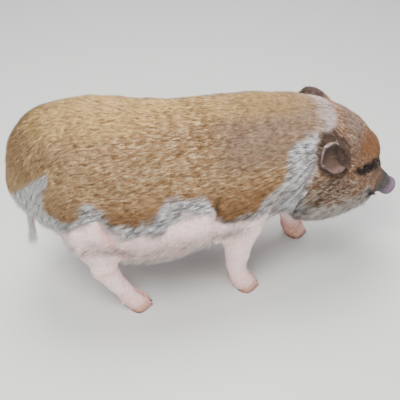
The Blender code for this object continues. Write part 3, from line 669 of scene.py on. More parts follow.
def head_relief(points, mouth, on_leg):
    """Lips, the dip before the brow, wrinkles, muzzle, cheek and jowl, along the normals."""
    back, across, above = head_frame(points)
    z = points[:, 2]
    fill = 0.0010 * bell(back, 0.118, 0.010) * ramp(above, 0.020, 0.045)
    fill += 0.0058 * bell(back, 0.142, 0.014) * ramp(above, 0.035, 0.060)
    fill += 0.0056 * bell(back, 0.106, 0.020) * ramp(above, 0.018, 0.040)
    for place, width, depth in WRINKLES:
        bend = place + 0.004 * np.sin(across * 90) + 0.05 * np.abs(across)
        fill -= depth * bell(back, bend, width) * ramp(above, -0.005, 0.015)
    muzzle = ramp(back, 0.018, 0.032) * ramp(back, 0.120, 0.085) * (z > 0.10)
    fill += muzzle * (0.0030 + 0.0030 * ramp(above, 0.0, 0.02) + 0.0040 * ramp(above, -0.015, -0.04))
    fill += 0.0045 * ramp(above, 0.035, 0.060) * ramp(back, 0.10, 0.13) * ramp(back, 0.27, 0.22)
    jaw = distance_to_path(np.stack(photo_plane(points), axis=1), JAW_BULGE)
    fill += 0.0095 * bell(jaw, 0, 8.0) * (1 - on_leg) * (z > 0.15)
    jowl = distance_to_path(np.stack([back, above], axis=1), JOWL_FOLD)
    fill -= 0.0055 * bell(jowl, 0, 0.0075) * ramp(np.abs(across), 0.040, 0.065)
    fill += 0.0005 * waves(points, 0.012, 25, 20) * ramp(back, 0.028, 0.05)
    lips = (mouth < 0.03) * (0.0022 * bell(mouth, 0.0065, 0.0034) - 0.0060 * bell(mouth, 0, 0.0022))
    on_head = ramp(back, 0.34, 0.26) * (points[:, 0] > 0.15)
    return lips + on_head * fill, on_head


def leg_relief(points, normals):
    """Hock, knee, coronet, rings of skin and the groove between the toes, along the normals."""
    x, y, z = points.T
    hind, facing = x < -0.12, normals[:, 0]
    move = hind * (facing < -0.2) * 0.0055 * bell(z, 0.142, 0.016)
    move -= hind * 0.0030 * bell(z, 0.178, 0.016) * (np.abs(facing) < 0.7)
    move += ~hind * (facing > 0.2) * 0.0028 * bell(z, 0.124, 0.016)
    move += 0.0014 * bell(z, 0.034, 0.010)
    rings = np.sin((z + 0.25 * (x - np.round(x, 1)) + 0.006 * waves(points, 0.06, 22)) * 2 * math.pi / 0.014)
    move += 0.0005 * np.minimum(rings, 0.3) * ramp(z, 0.040, 0.060) * (0.5 + 0.5 * waves(points, 0.05, 26))
    return leg_share(points) * move - 0.0042 * toe_groove(points) * (facing > 0)


def trunk_relief(points, on_head, on_leg):
    """Rump, neck fold, creases at the limbs and small unevenness, along the normals."""
    x, y, z = points.T
    side = np.abs(y)
    move = 0.0085 * ramp(x, -0.26, -0.36) * ramp(z, 0.36, 0.42)
    move -= 0.006 * ramp(x, -0.34, -0.40) * ramp(z, 0.34, 0.30) * (side > 0.03)
    crease = 0.010 * waves(points, 0.05, 21)
    neck = bell(x - 0.222 - 0.35 * (z - 0.30) + crease, 0, 0.010)
    move -= 0.006 * neck * ramp(z, 0.40, 0.33) * ramp(z, 0.19, 0.24)
    for depth, width, start, line in CREASES:
        move -= depth * bell(side_distance(points, line), 0, width) * (side > start)
    uneven = 0.0004 * waves(points, 0.020, 23) + 0.0016 * (1 - on_leg) * waves(points, 0.060, 24)
    return move + (1 - on_head) * uneven


def fit_lids(points, centre, ahead, up, out):
    """Lids laid over one eyeball, with their folds and the socket's rim."""
    offset = points - np.array(centre)
    right, rise, depth = offset @ np.array(ahead), offset @ np.array(up), offset @ np.array(out)
    away = np.hypot(right, rise)
    bow, sag = rise + 9.0 * right**2, rise - 7.0 * right**2
    relief = 0.0050 * bell(bow, 0.0150, 0.0050) - 0.0026 * bell(bow, 0.0082, 0.0018)
    relief += 0.0024 * bell(sag, -0.0115, 0.0034) - 0.0016 * bell(sag, -0.0160, 0.0018)
    relief -= 0.0012 * bell(sag, -0.0070, 0.0014)
    around = np.sqrt((right / LID_OPENING.x) ** 2 + ((rise - 0.05 * right) / LID_OPENING.y) ** 2)
    ball = np.sqrt(np.clip(EYE_RADIUS**2 - away**2, 0, None))
    lid = np.sqrt(np.clip((EYE_RADIUS + 0.0010) ** 2 - away**2, 0, None)) + 0.0004
    edge = ramp(around, 0.90, 1.08)
    target = (ball - 0.0035) * (1 - edge) + (lid + 0.0007 * bell(around, 1.22, 0.16)) * edge
    blend = np.where(around < 1.08, 1.0, ramp(around, 2.3, 1.25))
    lift = (target - depth) * blend + relief * bell(right, 0, 0.024) * ramp(around, 1.2, 1.9)
    near = (away < 0.045) & (depth > -0.012)
    return points + np.where(near, lift, 0.0)[:, None] * np.array(out)


def sculpt(skin):
    """Lids, brow, mouth, folds and wrinkles, as small moves of the hide along its own normals."""
    tree = surface_tree(skin)
    points, normals = corner_values(skin.data, "co"), corner_values(skin.data, "normal")
    x, y, z = points.T
    line = [tree.ray_cast(start + way * 0.3, -way)[0] for start, way in mouth_path()]
    on_leg = leg_share(points)
    move, on_head = head_relief(points, distance_to_path(points, line), on_leg)
    move = move + leg_relief(points, normals) + trunk_relief(points, on_head, on_leg)
    belly = ramp(x, -0.14, 0.02) * (x < 0.12) * ramp(z, 0.27, 0.15) * (1 - on_leg) * (z > 0.10)
    belly = (0.016 + 0.006 * ramp(x, 0.0, 0.03)) * belly
    points = points + normals * move[:, None]
    for _, *eye in EYES:
        points = fit_lids(points, *eye)
    points[:, 2] = np.maximum(points[:, 2] + belly, SOLE_HEIGHT)
    set_coordinates(skin.data, small_feet(draw_in(points)))
    return draw_in(np.array([list(hit) for hit in line]))


def photo_plane(points):
    """Where the camera sees each place, in pixels; the far side counts as the near side's mirror image."""
    near = points * (1, 0, 1) - np.abs(points) * (0, 1, 0) - np.array(CAMERA_TARGET)
    scale = PIXELS_PER_METRE * CAMERA_DISTANCE / (CAMERA_DISTANCE - near @ CAMERA_BACK)
    down = -near @ np.cross(CAMERA_BACK, CAMERA_RIGHT)
    return IMAGE_SIZE / 2 + near @ CAMERA_RIGHT * scale, IMAGE_SIZE / 2 + down * scale


def inside(plane, outline, soft):
    """1 inside an outline, 0 outside, with an edge that many pixels soft."""
    u, v = plane
    nearest = np.full(len(u), 1e9)
    within = np.zeros(len(u), bool)
    for (ax, ay), (bx, by) in zip(outline, outline[1:] + outline[:1]):
        wide, tall = bx - ax, by - ay
        t = np.clip(((u - ax) * wide + (v - ay) * tall) / (wide**2 + tall**2), 0, 1)
        nearest = np.minimum(nearest, np.hypot(u - ax - t * wide, v - ay - t * tall))
        if tall:
            within ^= ((ay > v) != (by > v)) & (u < wide * (v - ay) / tall + ax)
    return ramp(np.where(within, nearest, -nearest), -soft, soft)


def linear(red, green, blue):
    """A colour given as 0 to 255, as the renderer counts it."""
    values = np.array((red, green, blue)) / 255
    return np.where(values <= 0.04045, values / 12.92, ((values + 0.055) / 1.055) ** 2.4)


def over_edge(values, place, edge, low, high):
    """How far the values lie past an edge, which is a table of places and values."""
    return ramp(values - np.interp(place, *np.array(edge).T), low, high)


def markings(points):
    """How much of each marking, and of each patch of painted shade or light, lies at each place."""
    x, y, z = points.T
    back, across, above = head_frame(points)
    wobble = 0.007 * waves(points, 0.05, 31) + 0.004 * waves(points, 0.016, 32)
    u, v = photo_plane(points)
    plane = (u + 300 * wobble, v + 2.0 * waves(points, 0.020, 33))
    leg = leg_share(points)
    cheek = np.interp(above, *np.array(CHEEK_EDGE).T)
    face = ramp(cheek - back + wobble * 0.6, -0.006, 0.010)
    face *= (x > 0.18) * (z > 0.10) * (1 - leg)
    ham = ramp(u, 106, 96) * (x < 0)
    brown = over_edge(z + wobble, x, BROWN_EDGE, -0.007, 0.012) * (1 - ham)
    brown = (brown + inside(plane, HAM, 2.6) * (z > 0.24) * ham) * (1 - face)
    band = over_edge(z + wobble, x, BAND_EDGE, -0.008, 0.012) * (1 - brown) * (1 - face)
    chest = ramp(x, 0.125, 0.17) * ramp(z, 0.19, 0.23) * (1 - brown)
    neck = np.maximum(inside(plane, NECK_BAND, 3.0) * (x > 0.10) * (1 - leg), chest) * (1 - face)
    head = (x > 0.22) & (z > 0.10)
    return SimpleNamespace(
        brown=brown * (1 - neck), band=band * (1 - neck), neck=neck, face=face, leg=leg,
        back=back, across=across, above=above,
        streak=inside(plane, POLL_STREAK, 3.0) * head,
        shadow=inside(plane, EAR_SHADOW, 3.5) * head,
        rust=inside(plane, FOREHEAD, 8.0) * ramp(u + 0.4 * v, 408, 428) * face,
        brow=inside(plane, FOREHEAD, 6.0) * face,
        # The dark band over the eyes: dark hair and skin with painted shade of the fold at the stop and of
        # the sunken eyes.
        stripe_and_fold_shade=inside(plane, EYE_STRIPE_AND_FOLD_SHADE, 2.6) * face * (0.35 + 0.65 * ramp(np.abs(across), 0.012, 0.034)),
        # Painted shadow round the mouth, under the snout.
        mouth=inside(plane, MOUTH_SHADOW, 2.5) * face,
        flecks=inside(plane, CHEEK_FLECKS, 5.0) * face,
        fringe=inside(plane, JAW_LINE, 3.0) * face,
        muzzle=np.maximum(inside(plane, MUZZLE, 3.0), ramp(back, 0.085, 0.050)) * face,
        # The white rump patch: its own white, painted brighter as well, as painted light on the rear, which
        # faces away from the lamps.
        rump=(1 - brown) * ramp(x, -0.27, -0.32) * (z > 0.24),
        # Painted shade in the fold between the foreleg and the belly.
        elbow_fold_shade=inside(plane, ELBOW_FOLD_SHADE, 2.0) * (np.abs(x - 0.03) < 0.04),
        leg_line=inside(plane, LEG_LINE, 1.6) * (np.abs(x - 0.07) < 0.07),
        # Painted highlight along the top of the near ear's rim.
        ear_rim_highlight=inside(plane, EAR_RIM_HIGHLIGHT, 1.2) * (y < 0) * (x > 0.2),
        grey=ramp(x, 0.000, 0.070) * ramp(z, 0.375, 0.425) * (1 - face),
        # Pale gold along the top of the back: partly its own colour, partly a painted highlight of the light
        # from above.
        gold_and_top_highlight=ramp(z, 0.462, 0.482) * (1 - face),
        low=ramp(above, -0.020, -0.070) * face,
    )


def ear_places(points):
    """How much each place lies on an ear, in its cup and on its rim, and where: along it and across it."""
    ear, inner, rim, placed, turned = np.zeros((5, len(points)))
    steps = np.linspace(0, 1, 41)
    rows = np.array([spline(EAR, value) for value in steps])
    for side, _, _, axis, face, across in EARS:
        offset = points - np.array(EAR_ROOTS[side])
        along, aside, out = (offset @ np.array(way) for way in (axis, across, face))
        place = np.clip((along + EAR_SUNK) / (EAR_LENGTH + EAR_SUNK), 0, 1)
        half, cup, bend = (np.interp(place, steps, rows[:, i]) for i in range(3))
        turn = aside / np.maximum(half, 0.004)
        level = out - (cup * turn**2 + bend)
        near = (np.abs(turn) < 1.2) & (along > 0.004) & (along < EAR_LENGTH + 0.006) & (np.abs(level) < 0.010)
        edge = np.maximum(np.abs(turn), ramp(along, EAR_LENGTH - 0.014, EAR_LENGTH))
        ear = np.maximum(ear, near)
        inner = np.maximum(inner, near * (level > -0.003) * ramp(edge, 0.98, 0.84))
        rim = np.maximum(rim, near * ramp(edge, 0.84, 0.97))
        placed = np.where(near, place, placed)
        turned = np.where(near, -turn * side, turned)
    return ear, inner, rim, placed, turned


def paint(colours, *layers):
    """Blends in one layer after another; a layer is its share at each place and its colour."""
    for share, colour in layers:
        share = np.clip(share, 0, 1)[:, None]
        colour = colour if isinstance(colour, np.ndarray) else linear(*colour)
        colours = colours * (1 - share) + np.atleast_2d(colour) * share
    return colours


def skin_colours(points, mouth_line):
    """The hide's colour: pink where bare, dusky under the brown coat, with painted shade in creases, hollows
    and under the belly.
    """
    marks = markings(points)
    x, y, z = points.T
    belly = ramp(z, 0.31, 0.23) * (1 - marks.leg) * ramp(x, 0.10, 0.04) * ramp(x, -0.30, -0.22)
    snout = ramp(marks.back, 0.031, 0.024) * (np.abs(marks.above) < 0.06) * (x > 0.4)
    foreleg_top = bell(side_distance(points, FORELEG_TOP), 0, 0.0040) * (np.abs(y) > 0.07)
    thigh_front = bell(side_distance(points, THIGH_FRONT), 0, 0.010) * (np.abs(y) > 0.06)
    mouth = distance_to_path(points, mouth_line)
    ear, inner, rim, place, turn = ear_places(points)
    ruddy = np.where((y > 0) & (x > 0.1), 0.8, 0.38) * ramp(z, 0.075, 0.040) * (x < 0.36)
    return paint(
        np.tile(linear(255, 222, 218), (len(points), 1)),
        (0.35 * (0.5 + 0.5 * waves(points, 0.035, 41)), (240, 184, 178)),
        # Painted shade under the belly, darker towards the bottom.
        (belly * (0.68 + 0.22 * ramp(z, 0.22, 0.16)), (170, 132, 124)),
        (marks.brown, (112, 82, 56)),
        (marks.band, (150, 138, 130)),
        (marks.neck, (158, 142, 136)),
        (marks.face, (116, 88, 70)),
        (marks.brow, (122, 96, 80)),
        (marks.rust, (132, 88, 60)),
        (marks.fringe, (150, 138, 132)),
        (0.80 * marks.leg_line, (120, 98, 96)),
        # White rump patch, partly its own colour, partly painted light on the rear, which lies in shade.
        (marks.rump, (190, 178, 168)),
        (marks.muzzle, (72, 65, 62)),
        (0.85 * marks.streak, (168, 150, 148)),
        (0.8 * marks.shadow, (74, 54, 50)),
        # Dark band over the eyes: dark skin with painted shade of the fold at the stop.
        (0.95 * marks.stripe_and_fold_shade, (22, 17, 16)),
        # Painted shadow round the mouth, under the snout.
        (0.8 * marks.mouth, (56, 44, 42)),
        (snout, (108, 90, 104)),
        (0.75 * snout * ramp(marks.above, -0.002, -0.016), (74, 56, 58)),
        # Painted shade in the creases: darker along the top of the foreleg, redder in the fold before the
        # thigh and round the hock.
        (0.7 * foreleg_top, (112, 84, 78)),
        (0.6 * thigh_front, (206, 132, 124)),
        (0.35 * bell(z, 0.150, 0.008) * marks.leg * (x < -0.12), (204, 126, 118)),
        (bell(mouth, 0, 0.0035), (58, 36, 36)),
        # Painted shade round the sunken eye, darker towards it.
        (ramp(eye_distance(points), 0.026, 0.013), (46, 32, 30)),
        (ear, (104, 80, 74)),
        (inner, (86, 66, 54)),
        # Painted shade in the ear's cup: darker near one edge under the rim and towards the root.
        (0.75 * inner * bell(turn, 0.62, 0.26), (52, 38, 34)),
        (0.75 * inner * ramp(place, 0.50, 0.30), (52, 38, 34)),
        (0.70 * inner * ramp(turn, -0.45, -0.85) * ramp(place, 0.30, 0.45), (116, 92, 86)),
        (rim, (96, 76, 70)),
        # Painted highlight along the top of the near ear's rim.
        (0.9 * marks.ear_rim_highlight * ear, (186, 166, 158)),
        (ruddy, (206, 142, 116)),
        # Painted shade in the groove between the toes.
        (0.65 * toe_groove(points), (170, 98, 84)),
    )


def flow(points, normals):
    """The way the hair lies at each place."""
    marks = markings(points)
    x, y, z = points.T
    down = 0.08 + 1.1 * ramp(x, -0.22, -0.36) + 0.28 * ramp(z, 0.38, 0.27)
    lie = np.stack([-1.0 + 0.65 * ramp(x, -0.26, -0.38), np.sign(y) * 0.10, -down], axis=1)
    leg = marks.leg[:, None]
    lie = lie * (1 - leg) + np.array((-0.22, 0.0, -1.0)) * leg
    spread = np.clip(marks.across / 0.10, -1, 1)[:, None] * np.array(HEAD_LEFT) * 0.35
    drop = ramp(marks.above, 0.03, -0.10)[:, None] * np.array((-0.15, 0.0, -0.85))
    face = np.clip(marks.face + ramp(x, 0.24, 0.29) * ramp(marks.back, 0.36, 0.32), 0, 1)[:, None]
    lie = lie * (1 - face) + (spread + drop - np.array(HEAD_FORWARD)) * face
    lie += 0.16 * np.stack([waves(points, 0.07, seed) for seed in (51, 52, 53)], axis=1)
    return unit(lie - normals * np.sum(lie * normals, axis=1)[:, None])


def measure(skin):
    """The hide's corners, normals, triangles and their areas and middles, for placing hair."""
    mesh = skin.data
    mesh.calc_loop_triangles()
    corners = np.empty(len(mesh.loop_triangles) * 3, dtype=np.int64)
    mesh.loop_triangles.foreach_get("vertices", corners)
    corners = corners.reshape(-1, 3)
    points = corner_values(mesh, "co")
    a, b, c = (points[corners[:, i]] for i in range(3))
    area = 0.5 * np.linalg.norm(np.cross(b - a, c - a), axis=1)
    return points, corner_values(mesh, "normal"), corners, area, (a + b + c) / 3


def scatter(hide, density, count, draws):
    """Places on the hide, at random but in proportion to the density, with their normals."""
    points, normals, corners, area, _ = hide
    weight = area * density
    picked = draws.choice(len(corners), size=count, p=weight / weight.sum())
    u, v = draws.uniform(size=(2, count))
    flip = u + v > 1
    u[flip], v[flip] = 1 - u[flip], 1 - v[flip]
    share = np.stack([1 - u - v, u, v], axis=1)
    place, normal = (np.einsum("ij,ijk->ik", share, found[corners[picked]]) for found in (points, normals))
    return place, unit(normal)


def unwrap(points, chart):
    """Where each place lies on a flat layout of the hide: its trunk, its head, or its legs and belly."""
    x, y, z = points.T
    along = np.clip((x + 0.43) / 0.80, 0, 1)
    sideways, upwards = y, z - np.interp(x, [row[0] for row in SPINE], [row[1] for row in SPINE])
    if chart == "head":
        back, sideways, above = head_frame(points)
        upwards, along = above + 0.03, np.clip((back + 0.01) / 0.34, 0, 1)
    u = 0.005 + 0.985 * (np.arctan2(sideways, upwards) / (2 * math.pi) + 0.5)
    if chart in ("trunk", "head"):
        return u, 0.005 + 0.985 * along
    leg = z < 0.225
    column = (x > -0.05).astype(int) * 2 + (y > 0)
    foot = np.array([(-0.222, -0.106), (-0.27, 0.104), (0.084, -0.09), (0.235, 0.09)])[column]
    leg_turn = np.arctan2(y - foot[:, 1], x - foot[:, 0]) / (2 * math.pi) + 0.5
    u = np.where(leg, 0.005 + 0.24 * column + 0.23 * leg_turn, u)
    return u, np.where(leg, 0.005 + 0.58 * np.clip(z / 0.225, 0, 1), 0.60 + 0.39 * along)


def store(mesh, name, colours):
    """Keeps a colour for each corner."""
    tint = np.ones((len(colours), 4))
    tint[:, :3] = colours
    mesh.attributes.new(name, "FLOAT_COLOR", "POINT").data.foreach_set("color", tint.reshape(-1))


def tufts(name, chart, faces, place, normal, lie, length, width, lift, colours, material, draws):
    """Closed three-sided spikes, one for each place, in one mesh; the longer kind has a bend."""
    count = len(place)
    bent = faces is LOCK_FACES
    each = 7 if bent else 4
    side = np.cross(lie, normal)
    sway = draws.normal(0, 0.09, size=count)
    verts = np.empty((count, each, 3))
    steps = ((0.0, 0.85), (0.45, 1.0), (1.0, 0.0)) if bent else ((0.0, 1.0), (1.0, 0.0))
    for row, (t, broad) in enumerate(steps):
        rise = length * (lift * t - 0.55 * lift * t * t) - width * 0.35 * (1 - t)
        middle = place + lie * (length * t)[:, None] + normal * rise[:, None]
        middle += side * (length * sway * t * (0.5 + 0.5 * t))[:, None]
        if broad == 0.0:
            verts[:, each - 1] = middle
            break
        for corner, turn in enumerate((math.pi / 2, math.pi * 7 / 6, math.pi * 11 / 6)):
            offset = side * math.cos(turn) + normal * (0.45 * math.sin(turn))
            verts[:, row * 3 + corner] = middle + offset * (width * 0.5 * broad)[:, None]
    corners = (np.array(faces)[None] + each * np.arange(count)[:, None, None]).reshape(-1)
    mesh = bpy.data.meshes.new(name)
    mesh.vertices.add(count * each)
    mesh.vertices.foreach_set("co", verts.reshape(-1))
    mesh.loops.add(len(corners))
    mesh.loops.foreach_set("vertex_index", corners)
    mesh.polygons.add(count * len(faces))
    mesh.polygons.foreach_set("loop_start", np.arange(0, len(corners), 3))
    mesh.update(calc_edges=True)
    tint = np.repeat(colours[:, None, :], each, axis=1)
    tint[:, :3] *= 0.80
    tint[:, each - 1] = np.clip(tint[:, each - 1] * 1.2, 0, 1)
    store(mesh, "hair_colour", tint.reshape(-1, 3))
    patch = np.array(((0, 0), (1, 0), (0.5, 0.4), (0, 0.5), (1, 0.5), (0.5, 0.8), (0.5, 1))) * PATCH
    patch = patch if bent else patch[[0, 1, 2, 6]]
    flat = np.stack(unwrap(place, chart), axis=1)[:, None, :] + patch[None]
    layer = mesh.uv_layers.new(name="OFBake")
    layer.data.foreach_set("uv", flat.reshape(-1, 2)[corners].reshape(-1))
    mesh.materials.append(material)
    return smooth_shading(new_object(name, mesh))


def strands(pick, *shades):
    """One of several shades for each tuft. A shade is a share, of 1 in all, then red, green and blue."""
    colours = np.tile(linear(*shades[-1][1:]), (len(pick), 1))
    reached = 0.0
    for share, *shade in shades:
        colours[(pick >= reached) & (pick < reached + share)] = linear(*shade)
        reached += share
    return colours


def mixed(points, draws, stretch, scale, seed, share, swing):
    """A number from 0 to 1 for each tuft, partly at random and partly alike among neighbours."""
    alike = np.clip(0.5 + swing * waves(points * (stretch, 1.0, 1.0), scale, seed, 24), 0, 1)
    return np.clip(share * draws.uniform(size=len(points)) + (1 - share) * alike, 0, 0.999)


def hair_colours(points, draws, marks):
    """A colour for each tuft: its marking's shades, mixed strand by strand and in small flecks, with painted
    shade and highlight in places.
    """
    x, y, z = points.T
    pick = mixed(points, draws, 0.40, 0.0085, 62, 0.60, 0.62)
    coarse = mixed(points, draws, 0.75, 0.0075, 63, 0.45, 0.75)
    orange = np.maximum(ramp(z, 0.40, 0.33), 0.35 * ramp(x, -0.28, -0.37))
    pale = strands(coarse, (0.28, 84, 78, 76), (0.26, 168, 160, 158), (0.46, 252, 250, 248))
    bare = 1 - np.clip(marks.brown + marks.band + marks.face + marks.neck, 0, 1)
    under = bare * ramp(z, 0.30, 0.24) * (1 - marks.leg) * (x < 0.10) * (x > -0.37)
    cheek = strands(coarse, (0.26, 58, 44, 36), (0.44, 144, 108, 80), (0.30, 208, 178, 148))
    mottle = strands(coarse, (0.30, 48, 38, 34), (0.36, 150, 120, 92), (0.34, 210, 200, 188))
    brow = strands(coarse, (0.26, 76, 62, 56), (0.46, 122, 104, 92), (0.28, 164, 144, 128))
    rust = strands(pick, (0.24, 70, 50, 36), (0.48, 120, 80, 46), (0.28, 160, 118, 74))
    jaw = strands(coarse, (0.20, 96, 84, 78), (0.30, 170, 160, 150), (0.50, 214, 208, 202))
    ear, inner, rim, _, turn = ear_places(points)
    colours = paint(
        strands(
            pick, (0.22, 104, 76, 52), (0.26, 154, 118, 80), (0.28, 196, 160, 118), (0.24, 240, 214, 172)
        ),
        (0.66 * orange * (pick > 0.16), (144, 100, 62)),
        (0.45 * ramp(x, -0.18, -0.28) * ramp(z, 0.30, 0.36) * (pick > 0.25), (236, 196, 148)),
        (0.62 * marks.grey * (pick > 0.15), (150, 128, 114)),
        # Pale gold hair along the top of the back, partly its own colour, partly a painted highlight of the
        # light from above; towards the neck it turns a darker brown.
        (0.60 * marks.gold_and_top_highlight * (pick > 0.3), (234, 196, 128)),
        (0.40 * marks.gold_and_top_highlight * ramp(x, 0.04, 0.14), (150, 116, 72)),
        (marks.band, pale),
        (marks.neck, pale),
        # Whiter hair on the rump: partly its own white, partly painted light on the rear, which lies in
        # shade.
        (0.8 * marks.rump * (coarse > 0.26), (255, 253, 250)),
        (bare, (255, 238, 234)),
        # Dark and white hairs under the belly; their large dark share also stands in for the shade there.
        (0.8 * under, strands(coarse, (0.46, 106, 94, 88), (0.54, 240, 226, 220))),
        # Painted shade: a dark stroke in the fold between the foreleg and the belly.
        (0.80 * marks.elbow_fold_shade, (60, 42, 30)),
        (0.80 * marks.leg_line, (96, 82, 82)),
        (marks.face, cheek),
        (0.85 * np.maximum(marks.low, marks.flecks), mottle),
        (0.90 * marks.brow, brow),
        (0.90 * marks.rust, rust),
        (0.9 * marks.fringe, jaw),
        (0.85 * marks.muzzle, strands(pick, (0.55, 52, 47, 44), (0.45, 108, 99, 93))),
        (0.70 * marks.streak, strands(pick, (0.30, 150, 134, 128), (0.70, 212, 202, 200))),
        (0.86 * marks.shadow * (pick > 0.10), (52, 41, 38)),
        # Painted shadow round the mouth, under the snout.
        (0.85 * marks.mouth, (50, 40, 38)),
        # Dark band over the eyes: dark hair with painted shade of the fold at the stop.
        (0.96 * marks.stripe_and_fold_shade * (pick > 0.05), (22, 17, 15)),
        (ear, (88, 72, 68)),
        (inner, (66, 58, 50)),
        (0.6 * inner * ramp(turn, -0.45, -0.85), (110, 90, 84)),
        (rim, (92, 74, 68)),
        # Painted highlight along the top of the near ear's rim.
        (0.85 * ear * marks.ear_rim_highlight, (178, 158, 150)),
    )
    return np.clip(colours * draws.normal(1.0, 0.08, size=len(points))[:, None], 0, 1)


def densities(points):
    """How thickly each kind of hair grows: long coat, short hair on the face, fine hair elsewhere."""
    marks = markings(points)
    x, y, z = points.T
    ear = ear_places(points)[0]
    clear = ramp(marks.back, 0.031, 0.046) * ramp(eye_distance(points), 0.0125, 0.0165)
    tail = (x < TAIL_FRONT) & (z < TAIL_TOP) & (np.abs(y) < 0.02)
    jowl = ramp(marks.back, 0.13, 0.22) * ramp(marks.above, 0.01, -0.05)
    long = (marks.brown + 0.9 * marks.band + marks.neck) * (1 - marks.face)
    long = (long + 0.40 * marks.face * jowl + 0.9 * marks.fringe) * (1 - tail)
    long = np.where(z < 0.20, 0.0, long) * clear * (1 - ear)
    bare = bell(side_distance(points, FORELEG_TOP), 0, 0.006) * (z < 0.30) * (np.abs(y) > 0.07)
    long = long * (1 - 0.8 * bare)
    face = (marks.face + 0.3 * marks.neck * (x > 0.2)) * clear * (1 - 0.4 * ear)
    fine = (1 - np.clip(long, 0, 1)) * (1 - marks.face) * (z > 0.028) * (1 + 0.8 * ramp(z, 0.30, 0.20))
    belly = ramp(z, 0.300, 0.240) * (z > 0.11) * (1 - marks.leg) * (x < 0.10) * (1 - tail)
    throat = 0.3 * marks.neck * ramp(z, 0.30, 0.24)
    bristles = 1.7 * belly + 2.6 * marks.fringe * clear + 18.0 * tail + throat
    return {"trunk": long, "head": face, "limbs": fine * (1 - ear) + 0.6 * ear, "bristles": bristles}


def tuft_sizes(chart, place, marks):
    """Length and thickness of the tufts of one region, before each layer's own shares."""
    x, _, z = place.T
    even = np.ones(len(place))
    if chart == "trunk":
        return 0.0165 + 0.005 * (marks.neck + marks.band) - 0.002 * marks.face, 0.00135 * even
    if chart == "head":
        back = ramp(marks.back, 0.06, 0.24)
        length = 0.0060 + 0.0085 * back + 0.006 * marks.low
        return np.where(ear_places(place)[0] > 0, 0.005, length), 0.0007 + 0.0004 * back
    if chart == "bristles":
        tail = (x < TAIL_FRONT) & (z < TAIL_TOP)
        length = np.where(tail, 0.026 + 0.026 * ramp(z, 0.24, 0.19), 0.020 + 0.004 * marks.fringe)
        return length, np.where(tail, 0.0010, 0.0008)
    return 0.0070 + 0.005 * ramp(z, 0.19, 0.24), 0.00045 * even


def make_coat(skin, material):
    """Coat and guard hairs on back and sides, short hair on the face, fine hair on legs and belly."""
    hide = measure(skin)
    density = densities(hide[4])
    less = 1
    for index, (name, chart, count, long, broad, lift) in enumerate(COAT_LAYERS):
        draws = np.random.default_rng(700 + index)
        place, normal = scatter(hide, density[chart], count // less, draws)
        marks = markings(place)
        lie = flow(place, normal)
        lie = lie + np.cross(lie, normal) * draws.normal(0, 0.10, size=(len(place), 1))
        x, y, z = place.T
        length, thick = tuft_sizes(chart, place, marks)
        length = length * long * draws.uniform(0.7, 1.2, size=len(place))
        width = thick * broad * draws.uniform(0.7, 1.25, size=len(place)) * (1.8 if less > 1 else 1)
        rise = lift * draws.uniform(0.5, 1.5, size=len(place)) * (1 + 1.1 * marks.fringe)
        rise = np.where((x < TAIL_FRONT) & (z < TAIL_TOP) & (np.abs(y) < 0.03), 0.42, rise)
        if chart == "bristles":
            rise = np.where((x > -0.37) & (x < 0.15), 0.9, rise)
        middle = place + lie * (0.5 * length)[:, None]
        colours = hair_colours(middle, draws, markings(middle))
        grown = (place, normal, lie, length, width, rise, colours)
        yield tufts(name, chart, SPIKE_FACES, *grown, material, draws)


def make_lashes(skin, material):
    """Short lashes on the upper lids and sparse whiskers on lips, chin and brow."""
    draws = np.random.default_rng(901)
    places, ways, outs = [], [], []
    for _, centre, ahead, up, out in EYES:
        for turn in np.linspace(0.12, 0.88, 26) * math.pi:
            rim = LID_OPENING.x * 1.10 * math.cos(turn) * ahead + LID_OPENING.y * 1.15 * math.sin(turn) * up
            level = math.sqrt(max(EYE_RADIUS**2 - rim.length_squared, 0.0)) + 0.0012
            places.append(centre + rim + out * level)
            ways.append((out * 0.75 + rim.normalized() * 0.75 + up * 0.15).normalized())
            outs.append(out)
    hide = measure(skin)
    back, _, above = head_frame(hide[4])
    lips = ramp(back, 0.030, 0.042) * ramp(back, 0.115, 0.080) * ramp(above, 0.010, -0.010)
    brows = bell(back, 0.150, 0.012) * ramp(above, 0.045, 0.055) * 0.5
    on_head = (hide[4][:, 0] > 0.25) * (hide[4][:, 2] > 0.08)
    roots, normals = scatter(hide, (lips + brows) * on_head, 260, draws)
    place = np.concatenate([np.array(places), roots])
    way = np.concatenate([np.array(ways), unit(flow(roots, normals) + normals * 0.8)])
    normal = np.concatenate([np.array(outs), normals])
    normal = unit(normal - way * np.sum(way * normal, axis=1)[:, None])
    count = len(place)
    lash = np.arange(count) < len(places)
    length = np.where(lash, 0.0075, 0.017) * draws.uniform(0.7, 1.2, size=count)
    width = np.where(lash, 0.00040, 0.00050)
    colours = np.where(lash[:, None], linear(60, 46, 40), linear(196, 182, 170))
    grown = (place, normal, way, length, width, np.full(count, 0.25), colours)
    return tufts("lashes_and_whiskers", "head", LOCK_FACES, *grown, material, draws)


def plug(tree, made, inputs):
    """Sets a node's inputs: a socket is linked in, anything else is the input's own value."""
    for name, value in inputs.items():
        if isinstance(value, bpy.types.NodeSocket):
            tree.links.new(value, made.inputs[name])
        else:
            made.inputs[name].default_value = value


def node(tree, kind, inputs, **settings):
    made = tree.nodes.new("ShaderNode" + kind)
    for name, value in settings.items():
        setattr(made, name, value)
    plug(tree, made, inputs)
    return made


def shader(name):
    """An empty material, its nodes, its main shader and the object's own coordinates."""
    material = bpy.data.materials.new(name)
    material.use_nodes = True
    tree = material.node_tree
    return material, tree, tree.nodes["Principled BSDF"], node(tree, "TexCoord", {}).outputs["Object"]


